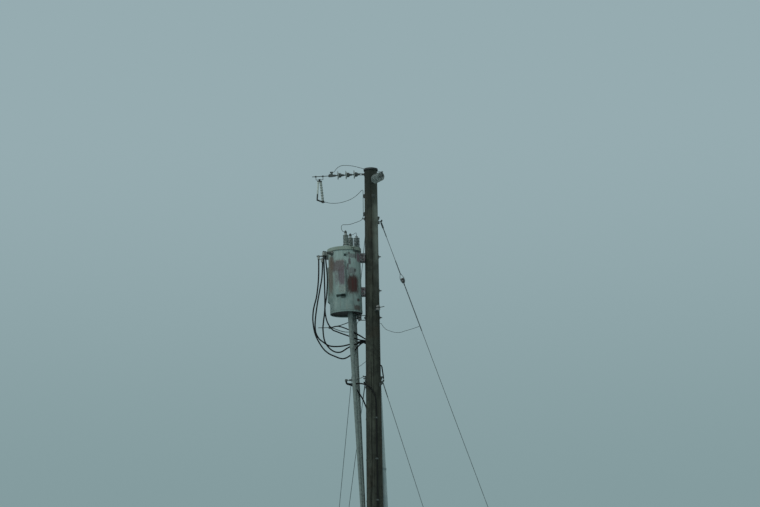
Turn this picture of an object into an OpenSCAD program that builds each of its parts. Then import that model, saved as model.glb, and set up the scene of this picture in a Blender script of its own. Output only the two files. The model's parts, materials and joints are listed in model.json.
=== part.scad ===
// Pole mounted transformer: a round wood pole that ends two lines, with a tank transformer
// hung on its left side, its fused cutout, secondary leads, riser, service attachment and guys.
// Millimetres, +Z up. The origin is the centre of the pole where it meets the ground.

/* [Pole] */
// Height of the pole above the ground
pole_h = 10330; // [10000:10:10800]
// Diameter of the pole at its top
pole_top_d = 218; // [185:1:235]
// Diameter of the pole at the ground
pole_base_d = 318; // [270:1:340]
// How far the pole cap's skirt hangs down
cap_skirt = 24; // [15:1:60]
// How far the pole cap stands out past the wood
cap_lip = 14; // [8:1:30]
// Wall of the pole cap
cap_wall = 4; // [2:0.5:8]

/* [Line ends] */
// Bearing of the left line from +X, seen from above
left_az = 185.7; // [178:0.1:190]
// Bearing of the right line from +X, seen from above
right_az = -73.5; // [-80:0.1:-65]
// Left line's bolt below the pole's top
left_drop = 86; // [76:1:110]
// Right line's bolt below the pole's top
right_drop = 232; // [195:1:250]
// Droop of the left insulator string in degrees
left_droop = 4; // [0:0.5:8]
// Droop of the right insulator string in degrees
right_droop = 7; // [0:0.5:10]
// Number of discs in each string
disc_count = 3; // [2:1:4]
// Distance from disc to disc
disc_pitch = 140; // [134:1:150]
// Diameter of a disc's skirt
disc_d = 152; // [130:1:160]
// Diameter of the line conductor
line_d = 14; // [10:0.5:16]

/* [Cutout] */
// Length of the cutout's insulator between its fittings
cutout_len = 330; // [280:5:350]
// Diameter of the cutout insulator's sheds
cutout_shed_d = 48; // [44:1:60]
// Diameter of the fuse tube
fuse_d = 26; // [20:1:30]
// Lean of the insulator from upright in degrees
cutout_lean = 6; // [3:0.5:8]
// Distance of the fuse hinge from the insulator's foot
hinge_reach = 99; // [80:1:110]

/* [Tank] */
// Diameter of the tank
tank_d = 546; // [520:2:570]
// Height of the tank under its lid
tank_h = 1082; // [1030:5:1120]
// Tank's top below the pole's top
tank_drop = 1448; // [1430:1:1480]
// Lean of the tank away from the pole in degrees
tank_lean = 1.5; // [0:0.1:2]
// Clear distance from the pole's face to the tank at the hangers
hanger_gap = 66.5; // [56:0.5:110]
// Spacing of the two hanger bolts
hanger_spacing = 590; // [560:5:620]
// Rise of the domed lid
lid_rise = 45; // [30:1:60]
// Height of the lid's rolled rim
lid_t = 34; // [24:1:40]
// How far the cooling pockets stand out from the tank
pocket_depth = 34; // [24:1:44]
// Width of a cooling pocket
pocket_w = 170; // [140:2:190]
// Height of a cooling pocket
pocket_h = 620; // [560:10:680]

/* [Bushings] */
// Height of the high voltage porcelain
high_h = 224; // [210:2:260]
// Diameter of the high voltage bushing's sheds
high_shed_d = 86; // [74:1:96]
// Reach of a low voltage porcelain from the tank's wall
low_reach = 99; // [80:1:112]
// Diameter of a low voltage porcelain
low_d = 62; // [54:1:72]
// Height of the arrester's body
arrester_h = 210; // [160:5:220]
// Diameter of the arrester's sheds
arrester_d = 98; // [80:1:104]

/* [Wires] */
// Diameter of the secondary leads
lead_d = 24; // [18:1:26]
// Diameter of the bare jumpers
jumper_d = 9; // [6:0.5:11]
// Diameter of the earth wires
bond_d = 8; // [5:0.5:10]
// Diameter of the service tails
tail_d = 24; // [16:1:26]

/* [Riser] */
// Outer diameter of the riser pipe
riser_d = 114; // [100:1:125]
// Wall of the riser pipe
riser_wall = 6; // [4:0.5:10]
// Riser pipe's open top below the pole's top
riser_drop = 3180; // [3150:10:3230]
// Riser pipe's centre behind the pole's centre
riser_back = 196; // [190:1:215]
// Riser pipe's centre at its top, right of the pole's centre
riser_top_x = 52; // [45:1:60]
// Riser pipe's centre at the ground, right of the pole's centre
riser_foot_x = 346; // [300:1:400]

/* [Guys] */
// Diameter of the guy strand
guy_d = 10; // [8:0.5:12]
// Upper right guy's hook below the pole's top
guy_right_high = 920; // [900:5:960]
// Lower right guy's hook below the pole's top
guy_right_low = 3680; // [3640:5:3730]
// Upper back guy's hook below the pole's top
guy_back_high = 540; // [500:5:600]
// Lower back guy's hook below the pole's top
guy_back_low = 3700; // [3680:5:3760]
// Diameter of the guy strain insulators
strain_d = 58; // [52:1:84]
// Length of the guy strain insulators
strain_len = 89; // [80:1:130]

/* [Neutral and service] */
// Left neutral bracket's bolt below the pole's top
neutral_left_drop = 2594; // [2580:2:2620]
// Right neutral bracket's bolt below the pole's top
neutral_right_drop = 2465; // [2440:5:2490]
// Bearing of the right neutral from +X
neutral_right_az = -64; // [-72:1:-56]
// Spacing of the cable clips down the pole
clip_pitch = 680; // [500:10:900]

/* [Hidden] */
$fn = 64;

seat = 0.3;
fit = 0.5;
bolt_d = 16;
nut_h = 14;
nut_d = 28;
square_washer = 57;
washer_t = 5;

// Heights above the ground are worked out from drops below the pole's top
function at(drop) = pole_h - drop;
function pole_r(z) = (pole_base_d + (pole_top_d - pole_base_d) * z / pole_h) / 2;
function face_r(drop) = pole_r(at(drop));
function polar(r, az, z) = [r * cos(az), r * sin(az), z];

guy_right_az = 7;
guy_back_az = 108.8;
guy_back_low_az = 150;
anchor_right_high = [3478, 424, 0];
anchor_right_low = [2190, 274, 0];
anchor_back = [-1180, 3370, 0];
anchor_stem = 420;

upper_hanger_drop = tank_drop + 92;
lower_hanger_drop = upper_hanger_drop + hanger_spacing;
tank_r = tank_d / 2;
tank_off = face_r(upper_hanger_drop) + hanger_gap + tank_r;
flange_r = tank_r + 8;
flange_h = 12;
lid_r = flange_r;
band_wall = 7;
band_lip = 5;
dome_r = tank_r - 12;
dome_sphere = (dome_r * dome_r + lid_rise * lid_rise) / (2 * lid_rise);
boss_top = lid_t + lid_rise;

// A hook's bolt is this far above its arm, or below it on the lower back guy
hook_bolt = 46;
hook_thick = 8;
service_thick = 10;
service_drop = guy_right_low - hook_bolt;
hanger_w = 132;
hanger_h = 132;
hanger_plate = 9;
hanger_sag = 20;
strap_t = 6;

// Each through bolt: drop, bearing of its head end, what its head clamps, what its nut clamps
BOLTS = [
  [upper_hanger_drop, 180, hanger_plate + 1, 0],
  [lower_hanger_drop, 180, hanger_plate + 1, 0],
  [neutral_left_drop, 180, strap_t + 1, 0],
  [neutral_right_drop, neutral_right_az, strap_t + 1, 0],
  [guy_right_high - hook_bolt, guy_right_az, hook_thick, 0],
  [guy_right_low - hook_bolt, guy_right_az, hook_thick, service_thick],
  [guy_back_high - hook_bolt, guy_back_az, hook_thick, 0],
  [guy_back_low + hook_bolt, guy_back_low_az, hook_thick, 0]];
bolt_tail = 34;

// Shapes shared by the hardware

module rod(p, q, d) {
  v = q - p;
  len = norm(v);
  translate(p)
    rotate([0, acos(v[2] / len), atan2(v[1], v[0])])
      cylinder(h = len, d = d);
}

module aim(p, q) {
  v = q - p;
  translate(p)
    rotate([0, acos(v[2] / norm(v)), atan2(v[1], v[0])])
      children();
}

module ring(r, wire) {
  rotate_extrude()
    translate([r, 0])
      circle(d = wire, $fn = 32);
}

module nut() {
  cylinder(h = nut_h, d = nut_d, $fn = 6);
}

// Puts children on the pole's face: +X points away from the pole at the bearing
module on_pole(drop, az) {
  translate([0, 0, at(drop)])
    rotate([0, 0, az])
      children();
}

module pole_grown(grow) {
  cylinder(h = pole_h, d1 = pole_base_d + 2 * grow, d2 = pole_top_d + 2 * grow, $fn = 96);
}

// A flat plate whose back is cut to the pole's round face, in the frame of on_pole
module saddle(drop, az, width, low, high, thick) {
  difference() {
    translate([face_r(drop) - 12, -width / 2, low])
      cube([12 + thick, width, high - low]);
    rotate([0, 0, -az])
      translate([0, 0, -at(drop)])
        pole_grown(seat);
  }
}

// Smooth route through hand chosen points, and a tube swept along it
function catmull(a, b, c, d, t) =
  0.5 * (2 * b + (c - a) * t + (2 * a - 5 * b + 4 * c - d) * t * t + (3 * b - 3 * c + d - a) * t * t * t);
function route(p, steps) = [
  for (i = [0 : len(p) - 2])
    for (j = [0 : steps - 1])
      catmull(p[max(i - 1, 0)], p[i], p[i + 1], p[min(i + 2, len(p) - 1)], j / steps),
  p[len(p) - 1]];
function unit(v) = v / norm(v);
function tangent(p, i) = unit(p[min(i + 1, len(p) - 1)] - p[max(i - 1, 0)]);
function carried(u, t) = unit(u - t * (u * t));
function first_side(t) = carried(abs(t[2]) < 0.8 ? [0, 0, 1] : [1, 0, 0], t);
function sides_along(p) = [
  for (i = 0, u = first_side(tangent(p, 0)); i < len(p);
       i = i + 1, u = i < len(p) ? carried(u, tangent(p, i)) : u)
    u];

module tube(points, d, sides, steps) {
  path = route(points, steps);
  frames = sides_along(path);
  count = len(path);
  rings = [
    for (i = [0 : count - 1])
      for (j = [0 : sides - 1])
        let (a = 360 * j / sides, u = frames[i], v = cross(tangent(path, i), u))
          path[i] + d / 2 * (cos(a) * u + sin(a) * v)];
  skin = [
    for (i = [0 : count - 2])
      for (j = [0 : sides - 1])
        let (k = (j + 1) % sides)
          [i * sides + j, (i + 1) * sides + j, (i + 1) * sides + k, i * sides + k]];
  start = [for (j = [0 : sides - 1]) j];
  end = [for (j = [sides - 1 : -1 : 0]) (count - 1) * sides + j];
  polyhedron(points = rings, faces = concat([start], skin, [end]), convexity = 10);
}

// Wires are routed from the centre of the pole's top
wire_sides = 8;

module wire(points, d, steps = 2) {
  translate([0, 0, pole_h])
    tube(points, d, wire_sides, steps);
}

PRIMARY_ROUTE = [
  [-780.6, -78, -586.3], [-766, -76, -589], [-700, -72, -604], [-600, -68, -606], [-520, -60, -594],
  [-440, -50, -570], [-350, -36, -532], [-270, -26, -480], [-205, -16, -418], [-158, -6, -366],
  [-137, 0, -372], [-136, 0, -420], [-136, 0, -520], [-136, 0, -640], [-136, 0, -770], [-140, -2, -835],
  [-162, -10, -884], [-210, -24, -918], [-288, -40, -950], [-365, -56, -978], [-430, -75, -988],
  [-485, -92, -992.8], [-507.6, -104, -1018.4], [-511.2, -110, -1059.5], [-498.8, -110, -1096.4],
  [-482, -110, -1116.5], [-463.7, -110, -1121.5]];
TOP_ROUTE = [
  [-647.8, -64.7, -55.4], [-630, -62, -50], [-612, -56, -26], [-592, -44, 6], [-556, -20, 46],
  [-500, 20, 84], [-415, 60, 98], [-320, 95, 98], [-230, 122, 84], [-140, 146, 64], [-40, 158, 40],
  [60, 152, 20], [130, 118, 0], [174, 34, -30], [188, -80, -70], [190, -200, -106], [190, -330, -138],
  [188, -440, -166], [185, -530, -186], [181, -582, -210], [179.8, -606, -221.6], [185.4, -625.9, -225.1]];
ARRESTER_ROUTE = [
  [-340.6, 112, -1119.5], [-325, 118, -1117], [-300.8, 146, -1098], [-275, 200, -1066],
  [-261.5, 242.5, -1070.6], [-258.5, 251.1, -1096.6]];
LEAD_1_ROUTE = [
  [-904, 0, -1552.1], [-903.5, 1, -1654.3], [-906, 4, -1834], [-918, 8, -2014.5], [-945, 10, -2220.3],
  [-980, 14, -2357.1], [-1003, 17, -2480], [-1007, 20, -2649], [-966, 23, -2872], [-858, 26, -3078],
  [-760, 28, -3180], [-658, 30, -3234], [-507, 32, -3282], [-372, 30, -3220], [-290, 28, -3120],
  [-220, 30, -3046], [-176, 56, -3012], [-158, 116, -2996], [-110, 174, -3006], [-40, 204, -3040],
  [14, 212, -3100], [26, 213, -3190], [28, 213, -3330]];
LEAD_2_ROUTE = [
  [-845.6, 218, -1551], [-847, 218, -1654.2], [-858.9, 209.7, -1847.9], [-885.6, 195.1, -2013.4],
  [-935.4, 175.8, -2294.3], [-973.3, 162.6, -2590.1], [-969.8, 150.7, -2783], [-920, 142, -2900],
  [-860, 134, -2960], [-725, 120, -3046], [-523, 104, -3054], [-320, 90, -3009], [-230, 92, -2986],
  [-180, 116, -2972], [-140, 160, -2968], [-70, 206, -2984], [14, 230, -3020], [56, 230, -3090],
  [62, 229, -3190], [64, 229, -3330]];
LEAD_3_ROUTE = [
  [-806.4, -305.4, -1550.1], [-806, -303.4, -1654.1], [-802, -281.7, -1853.9],
  [-799.3, -240.2, -2056.4], [-799, -167.8, -2446.2], [-825.7, -133.5, -2681.1],
  [-834.7, -110.9, -2814], [-803, -100, -3015], [-688, -80, -3157], [-554, -60, -3188],
  [-420, -44, -3111], [-300, -24, -3052], [-200, 0, -3020], [-152, 40, -3004], [-134, 90, -3000],
  [-96, 140, -3010], [-44, 164, -3046], [14, 174, -3106], [30, 174, -3190], [32, 173, -3330]];
LEAD_4_ROUTE = [
  [-776.9, -278.4, -1548.8], [-773.4, -277.4, -1664.1], [-751, -263.7, -1962.9],
  [-766.3, -238.2, -2256.4], [-796, -213.8, -2473.2], [-765.7, -169.5, -2674.1], [-684.7, -90.9, -2798],
  [-600, -76, -2840], [-518, -66, -2872], [-400, -52, -2914], [-318, -42, -2947], [-220, -16, -2975],
  [-160, 20, -2976], [-132, 76, -2970], [-92, 124, -2972], [-30, 156, -2990], [36, 160, -3030],
  [64, 164, -3100], [69, 165, -3190], [71, 165, -3330]];
LEAD_5_ROUTE = [
  [-702.4, -20, -2754], [-680, -21, -2752], [-619, -26, -2739], [-551, -28, -2743], [-451, -24, -2778],
  [-350, -16, -2824], [-250, -4, -2876], [-183, 24, -2914], [-150, 70, -2930], [-112, 120, -2940],
  [-50, 162, -2946], [30, 190, -2972], [80, 200, -3040], [89, 200, -3120], [90, 200, -3210], [92, 200, -3330]];
LEAD_6_ROUTE = [
  [-702.4, 17, -2754], [-660, 18, -2764], [-552, 20, -2806], [-470, 22, -2826], [-384, 24, -2834],
  [-283, 30, -2866], [-200, 60, -2906], [-160, 110, -2922], [-110, 158, -2934], [-40, 196, -2964],
  [30, 198, -3026], [52, 197, -3110], [55, 197, -3210], [57, 197, -3330]];
TAIL_1_ROUTE = [
  [-452, -75.6, -3681], [-451, -76, -3700], [-436, -78, -3722], [-392, -82, -3730], [-340, -90, -3732],
  [-292, -98, -3730], [-230, -112, -3730], [-168, -132, -3742], [-100, -152, -3774], [-44, -156, -3822],
  [6, -150, -3900], [34.5, -147, -4000], [43.6, -137.4, -4120], [43.8, -134.7, -4199.4]];
TAIL_2_ROUTE = [
  [-456, -36, -3681], [-455, -36, -3700], [-440, -34, -3724], [-392, -28, -3738], [-340, -16, -3760],
  [-294, 0, -3806], [-240, 22, -3876], [-190, 44, -3958], [-150, 62, -4046], [-122, 77, -4120],
  [-120.1, 75.1, -4199.6]];
BOND_RIGHT_ROUTE = [
  [122.8, 6, -2690], [141.1, 8, -2693], [160.4, 12, -2720], [190.8, 17.1, -2762], [231.5, 26.2, -2796],
  [292.3, 33.3, -2820], [353.4, 42.4, -2838], [412.6, 50.5, -2844], [476, 60.7, -2838],
  [534.6, 67.9, -2818], [646.5, 82.1, -2784], [716.4, 90.3, -2760], [788.6, 96.2, -2733.4]];
BOND_BACK_ROUTE = [
  [-80.9, 96, -3300], [-102.2, 122, -3304], [-150.7, 220, -3322], [-216.5, 400, -3340],
  [-272.7, 600, -3336], [-316.2, 800, -3304], [-343.6, 944.5, -3268], [-356.8, 1014.6, -3245]];

tail_end_drop = 4200;
tail_1_az = -72;
tail_2_az = 148;

// Pole and cap

module pole() {
  color("#3a3832")
    difference() {
      pole_grown(0);
      for (b = BOLTS)
        on_pole(b[0], b[1])
          rotate([0, 90, 0])
            cylinder(h = 2 * pole_base_d, d = bolt_d + 2 * fit, center = true);
      for (line = [[left_drop, left_az], [right_drop, right_az]])
        on_pole(line[0], line[1])
          rotate([0, 90, 0])
            cylinder(h = 2 * pole_base_d, d = bolt_d + 2 * fit, center = true);
    }
}

module pole_cap() {
  inner = pole_top_d / 2 + cap_lip - cap_wall;
  outer = inner + cap_wall;
  rim = 8;
  color("#15211f")
    translate([0, 0, pole_h + seat])
      rotate_extrude($fn = 96)
        polygon([
          [0, 0], [inner, 0], [inner, -cap_skirt], [outer, -cap_skirt], [outer, rim],
          [outer * 0.8, rim + 8], [outer * 0.5, rim + 14], [outer * 0.2, rim + 17], [0, rim + 18]]);
}

module through_bolt(drop, az, head_plate, nut_plate) {
  wood = face_r(drop);
  washer_in = face_r(drop + square_washer / 2) + seat;
  head_in = wood + head_plate + seat;
  nut_in = nut_plate > 0 ? wood + nut_plate + seat : washer_in + washer_t;
  color("#5d5a55")
    on_pole(drop, az)
      rotate([0, 90, 0]) {
        translate([0, 0, -nut_in - bolt_tail])
          cylinder(h = nut_in + bolt_tail + head_in, d = bolt_d);
        if (nut_plate == 0)
          translate([-square_washer / 2, -square_washer / 2, -nut_in])
            cube([square_washer, square_washer, washer_t]);
        translate([0, 0, -nut_in - nut_h])
          nut();
        translate([0, 0, head_in])
          nut();
      }
}

module through_bolts() {
  for (b = BOLTS)
    through_bolt(b[0], b[1], b[2], b[3]);
}

// Dead end strings, drawn along +Z from the first clevis pin

pin_back = 38;
crown_r = 32;
stem_r = 12;
tongue_t = 14;
ear_t = 8;
clevis_pin_d = 14;
string_reach = 90;

module string_frame(drop, az, droop) {
  on_pole(drop, az)
    translate([face_r(drop) + string_reach, 0, 0])
      rotate([0, 90 + droop, 0])
        children();
}

module tongue_end(drop_in) {
  rotate([90, 0, 0])
    linear_extrude(height = tongue_t, center = true)
      difference() {
        union() {
          circle(r = 14);
          translate([-13, -drop_in])
            square([26, drop_in]);
        }
        circle(d = clevis_pin_d + 2 * fit);
      }
}

module clevis_ears(length) {
  for (side = [-1, 1])
    rotate([90, 0, 0])
      translate([0, 0, side * (tongue_t / 2 + fit + ear_t / 2)])
        linear_extrude(height = ear_t, center = true) {
          circle(r = 15);
          translate([-15, 0])
            square([30, length]);
        }
  rotate([90, 0, 0])
    cylinder(h = tongue_t + 2 * ear_t + 14, d = clevis_pin_d, center = true);
}

module disc_shed() {
  skirt = disc_d / 2;
  rotate_extrude($fn = 72)
    polygon([
      [0, 0], [crown_r - 6, 0], [crown_r, 6], [crown_r, 30], [crown_r + 10, 34], [skirt * 0.78, 40],
      [skirt * 0.94, 45], [skirt, 50], [skirt - 1, 54], [skirt - 5, 54], [skirt * 0.86, 48],
      [skirt * 0.8, 47], [skirt * 0.77, 56], [skirt * 0.72, 56], [skirt * 0.69, 45],
      [skirt * 0.6, 43], [skirt * 0.57, 54], [skirt * 0.51, 54], [skirt * 0.48, 42],
      [crown_r * 0.9, 36], [stem_r + seat, 34], [stem_r + seat, 8], [0, 8]]);
}

module disc_cap() {
  rotate_extrude()
    polygon([
      [0, -14], [24, -14], [34, -6], [crown_r + 7, 8], [crown_r + 7, 29], [crown_r + seat, 29],
      [crown_r + seat, 6], [crown_r - 6, -seat], [0, -seat]]);
  translate([0, 0, -pin_back])
    clevis_ears(pin_back - 13);
}

module disc_stem() {
  translate([0, 0, 8 + seat])
    cylinder(h = 44, r = stem_r);
  translate([0, 0, 50])
    cylinder(h = disc_pitch - pin_back - 70, r = stem_r - 3);
  translate([0, 0, disc_pitch - pin_back])
    tongue_end(22);
}

module string_sheds() {
  for (i = [0 : disc_count - 1])
    translate([0, 0, i * disc_pitch + pin_back])
      disc_shed();
}

module string_fittings() {
  for (i = [0 : disc_count - 1])
    translate([0, 0, i * disc_pitch + pin_back]) {
      disc_cap();
      disc_stem();
    }
}

module left_string_sheds() {
  color("#8d9a97")
    string_frame(left_drop, left_az, left_droop)
      string_sheds();
}

module left_string_fittings() {
  color("#6f7672")
    string_frame(left_drop, left_az, left_droop)
      string_fittings();
}

module right_string_sheds() {
  color("#8d9a97")
    string_frame(right_drop, right_az, right_droop)
      string_sheds();
}

module right_string_fittings() {
  color("#6f7672")
    string_frame(right_drop, right_az, right_droop)
      string_fittings();
}

// Bolt through the pole with an oval eye nut that holds the first clevis
module line_eye(drop, az) {
  back = face_r(drop + square_washer / 2) + seat;
  eye_far = face_r(drop) + string_reach;
  color("#5d5a55")
    on_pole(drop, az) {
      rotate([0, 90, 0])
        translate([0, 0, -back - 50])
          cylinder(h = back + 50 + eye_far - 44, d = bolt_d);
      for (side = [-1, 1])
        translate([side > 0 ? back : -back - washer_t, -square_washer / 2, -square_washer / 2])
          cube([washer_t, square_washer, square_washer]);
      translate([-back - washer_t - nut_h, 0, 0])
        rotate([0, 90, 0])
          nut();
      translate([back + washer_t, 0, 0])
        rotate([0, 90, 0])
          cylinder(h = 26, d = 34);
      difference() {
        rotate([90, 0, 0])
          linear_extrude(height = tongue_t, center = true)
            difference() {
              union() {
                translate([eye_far, 0])
                  circle(r = 15);
                translate([eye_far - 62, -15])
                  square([62, 30]);
                translate([eye_far - 62, 0])
                  circle(r = 15);
              }
              translate([eye_far, 0])
                circle(d = clevis_pin_d + 2 * fit);
              translate([eye_far - 40, -8])
                square([26, 16]);
            }
      }
    }
}

module line_eyes() {
  line_eye(left_drop, left_az);
  line_eye(right_drop, right_az);
}

// Bolted strain clamp: clevis, trough and keeper, with the conductor's bore along the string

clamp_start = 34;
clamp_len = 78;
clamp_w = 34;
barrel_rise = 62;
barrel_d = 24;
barrel_len = 50;
keeper_bolt_d = 9;
keeper_bolts = [22, 54];

module strain_clamp() {
  difference() {
    union() {
      clevis_ears(clamp_start);
      translate([0, 0, clamp_start])
        rotate([90, 0, 0])
          linear_extrude(height = clamp_w, center = true)
            polygon([
              [-17, -10], [17, -10], [20, 12], [20, clamp_len - 14], [12, clamp_len],
              [-14, clamp_len], [-18, clamp_len - 20], [-18, 8]]);
      for (bolt = keeper_bolts)
        translate([-18, 0, clamp_start + bolt])
          rotate([0, -90, 0])
            for (side = [-1, 1])
              translate([0, side * (line_d / 2 + 5), 0])
                cylinder(h = 16, d = keeper_bolt_d);
      translate([-27, -clamp_w / 2, clamp_start + 10])
        cube([9, clamp_w, 56]);
      translate([-barrel_rise, -9, clamp_start])
        cube([barrel_rise - 17, 18, barrel_len - 14]);
      translate([-barrel_rise, 0, clamp_start - 5])
        cylinder(h = barrel_len, d = barrel_d);
    }
    translate([0, 0, clamp_start + 6])
      cylinder(h = clamp_len, d = line_d + 2 * seat);
  }
}

module left_strain_clamp() {
  color("#747c79")
    string_frame(left_drop, left_az, left_droop)
      translate([0, 0, disc_count * disc_pitch])
        strain_clamp();
}

module right_strain_clamp() {
  color("#747c79")
    string_frame(right_drop, right_az, right_droop)
      translate([0, 0, disc_count * disc_pitch])
        strain_clamp();
}

// Left stub of line with its stirrup, drawn from the same string frame

stub_len = 390;
stirrup_near = 208;
stirrup_far = 328;
stirrup_wire = 9;
stirrup_depth = 60;
tape_end = 346;
bare_d = line_d - 1;

module stub_frame() {
  string_frame(left_drop, left_az, left_droop)
    translate([0, 0, disc_count * disc_pitch])
      children();
}

// The conductor is wrapped in armour tape through both clamps and bare past them
module line_stub() {
  color("#8b9491")
    stub_frame() {
      translate([0, 0, clamp_start + 6 + seat])
        cylinder(h = tape_end - clamp_start - 6 - seat, d = line_d);
      translate([0, 0, tape_end - 1])
        cylinder(h = stub_len + 1 - tape_end, d = bare_d);
    }
}

module stirrup() {
  color("#9aa3a0")
    stub_frame()
      difference() {
        union() {
          for (s = [stirrup_near, stirrup_far]) {
            translate([0, 0, s - 14])
              cylinder(h = 28, d = line_d + 14);
            rotate([0, 90, 0])
              translate([-s, 0, 0])
                cylinder(h = stirrup_depth, d = stirrup_wire);
            translate([stirrup_depth, 0, s])
              sphere(d = stirrup_wire);
          }
          translate([stirrup_depth, 0, stirrup_near])
            cylinder(h = stirrup_far - stirrup_near, d = stirrup_wire);
        }
        translate([0, 0, stirrup_near - 20])
          cylinder(h = stirrup_far - stirrup_near + 40, d = line_d + 2 * seat);
      }
}

// Cutout: hangs from the stirrup, its insulator leans right and its fuse tube closes the left side

stirrup_mid = (stirrup_near + stirrup_far) / 2;
stub_s = face_r(left_drop) + string_reach
  + (disc_count * disc_pitch + stirrup_mid) * cos(left_droop) - stirrup_depth * sin(left_droop);
stub_fall = (disc_count * disc_pitch + stirrup_mid) * sin(left_droop) + stirrup_depth * cos(left_droop);
cutout_hang = [stub_s * cos(left_az), stub_s * sin(left_az), at(left_drop) - stub_fall];
head_h = 44;
head_plate = 12;
foot_h = 34;
hinge_pin_d = 10;
core_d = 36;
cap_d = core_d + 10;
collar = 26;
insulator_x = 20;
fuse_top_x = -22;
arm_t = 18;
fork_w = 36;
fork_gap = 22;
fuse_clear = 5;
hinge_lift = 16;
hinge_x = insulator_x + (cutout_len + foot_h / 2) * sin(cutout_lean) - hinge_reach;
hinge_z = -head_h - (cutout_len - hinge_lift) * cos(cutout_lean);
fuse_top_z = -head_h + head_plate - fuse_clear;
fuse_lean = atan2(fuse_top_x - hinge_x, fuse_top_z - hinge_z);
fuse_len = norm([fuse_top_x - hinge_x, fuse_top_z - hinge_z]);

module cutout_frame() {
  translate(cutout_hang)
    rotate([0, 0, left_az + 180])
      children();
}

// Insulator's own axis: from the head down and to the right
module cutout_axis() {
  cutout_frame()
    translate([insulator_x, 0, -head_h])
      rotate([0, -cutout_lean, 0])
        mirror([0, 0, 1])
          children();
}

function ribbed(core, shed, start, pitch, count) = [
  for (i = [0 : count - 1])
    for (p = [[core, 0], [shed, 0.34], [shed, 0.5], [core, 0.86]])
      [p[0], start + pitch * (i + p[1])]];

module cutout_insulator() {
  sheds = 6;
  end_r = core_d / 2 + 3;
  color("#a3aba5")
    cutout_axis()
      rotate_extrude()
        polygon(concat(
          [[0, seat], [end_r, seat], [end_r, collar]],
          ribbed(core_d / 2, cutout_shed_d / 2, collar, (cutout_len - 2 * collar) / sheds, sheds),
          [[end_r, cutout_len - collar], [end_r, cutout_len - seat], [0, cutout_len - seat]]));
}

// Head: an eye round the stirrup's bar, a plate over both legs and the insulator's cap
module cutout_head() {
  difference() {
    union() {
      cutout_frame() {
        rotate([0, 90 - left_droop, 0])
          cylinder(h = 30, d = 28, center = true);
        translate([-12, -12, -head_h + head_plate])
          cube([24, 24, head_h - head_plate - 6]);
        translate([fuse_top_x - 18, -16, -head_h + head_plate])
          cube([insulator_x - fuse_top_x + 36, 32, head_plate]);
      }
      cutout_axis()
        translate([0, 0, -head_plate - 6])
          cylinder(h = head_plate + 6, d = cap_d);
    }
    cutout_frame()
      rotate([0, 90 - left_droop, 0])
        cylinder(h = 200, d = stirrup_wire + 2 * seat, center = true);
  }
}

// Foot: the insulator's lower cap, the forked arm with the hinge pin, and the wire terminal
arm_end = cutout_len + 24;
arm_end_x = insulator_x + arm_end * sin(cutout_lean);
arm_end_z = -head_h - arm_end * cos(cutout_lean);
terminal_z = -head_h - (cutout_len + foot_h * 0.6) * cos(cutout_lean);
terminal_x = hinge_x + hinge_reach + 6;
terminal_len = 34;
terminal_d = 14;

module cutout_foot() {
  cutout_axis()
    translate([0, 0, cutout_len])
      cylinder(h = foot_h, d = cap_d);
  cutout_frame() {
    difference() {
      hull()
        for (end = [[hinge_x, 0, hinge_z], [arm_end_x, 0, arm_end_z]])
          translate(end)
            rotate([90, 0, 0])
              cylinder(h = fork_w, d = arm_t, center = true);
      translate([hinge_x - 30, -fork_gap / 2, hinge_z - 24])
        cube([30 + 20, fork_gap, 48]);
    }
    translate([hinge_x, 0, hinge_z])
      rotate([90, 0, 0])
        cylinder(h = fork_w, d = hinge_pin_d, center = true);
    translate([terminal_x, 0, terminal_z])
      rotate([0, 90, 0])
        cylinder(h = terminal_len, d = terminal_d);
  }
}

module cutout_fittings() {
  color("#3a413e") {
    cutout_head();
    cutout_foot();
  }
}

hinge_clear = 0.15;

module fuse_tube() {
  color("#b9bdb4")
    cutout_frame()
      translate([hinge_x, 0, hinge_z])
        rotate([0, fuse_lean, 0])
          difference() {
            union() {
              translate([0, 0, 16])
                cylinder(h = fuse_len - 26, d = fuse_d);
              translate([0, 0, fuse_len - 30])
                cylinder(h = 30, d = fuse_d + 6);
              rotate([90, 0, 0])
                cylinder(h = 20, d = 24, center = true);
              translate([-8, -10, 0])
                cube([16, 20, 24]);
            }
            rotate([90, 0, 0])
              cylinder(h = 40, d = hinge_pin_d + 2 * hinge_clear, center = true);
          }
}

module primary_jumper() {
  color("#7f8884")
    wire(PRIMARY_ROUTE, jumper_d, 2);
}

module top_jumper() {
  color("#7f8884")
    wire(TOP_ROUTE, jumper_d, 2);
}

module arrester_jumper() {
  color("#7f8884")
    wire(ARRESTER_ROUTE, jumper_d - 2, 3);
}

// Standoffs that keep the primary jumper off the pole's left side
bracket_drops = [470, 790];
jumper_run = 136;

module wire_brackets() {
  color("#33403c")
    for (drop = bracket_drops)
      on_pole(drop, 180) {
        saddle(drop, 180, 44, -34, 34, 8);
        reach = jumper_run - jumper_d / 2 - seat;
        rotate([0, 90, 0])
          translate([0, 0, face_r(drop) + 6])
            cylinder(h = reach - face_r(drop) - 6, d = 34);
      }
}

// Transformer, drawn in the tank's own frame: +Z up its axis from the floor of the tank

module tank_frame() {
  translate([-tank_off, 0, at(tank_drop) - tank_h / 2])
    rotate([0, -tank_lean, 0])
      translate([0, 0, -tank_h / 2])
        children();
}

module tank() {
  skirt = 18;
  color("#6f857f")
    tank_frame()
      rotate_extrude($fn = 128)
        polygon([
          [0, skirt], [tank_r - 8, skirt], [tank_r - 8, 0], [tank_r, 0], [tank_r, tank_h - flange_h - 6],
          [flange_r, tank_h - flange_h], [flange_r, tank_h], [0, tank_h]]);
}

module bushing_places() {
  for (p = [[38, -110], [114, 112]])
    translate([p[0], p[1], 0])
      children();
}

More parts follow.
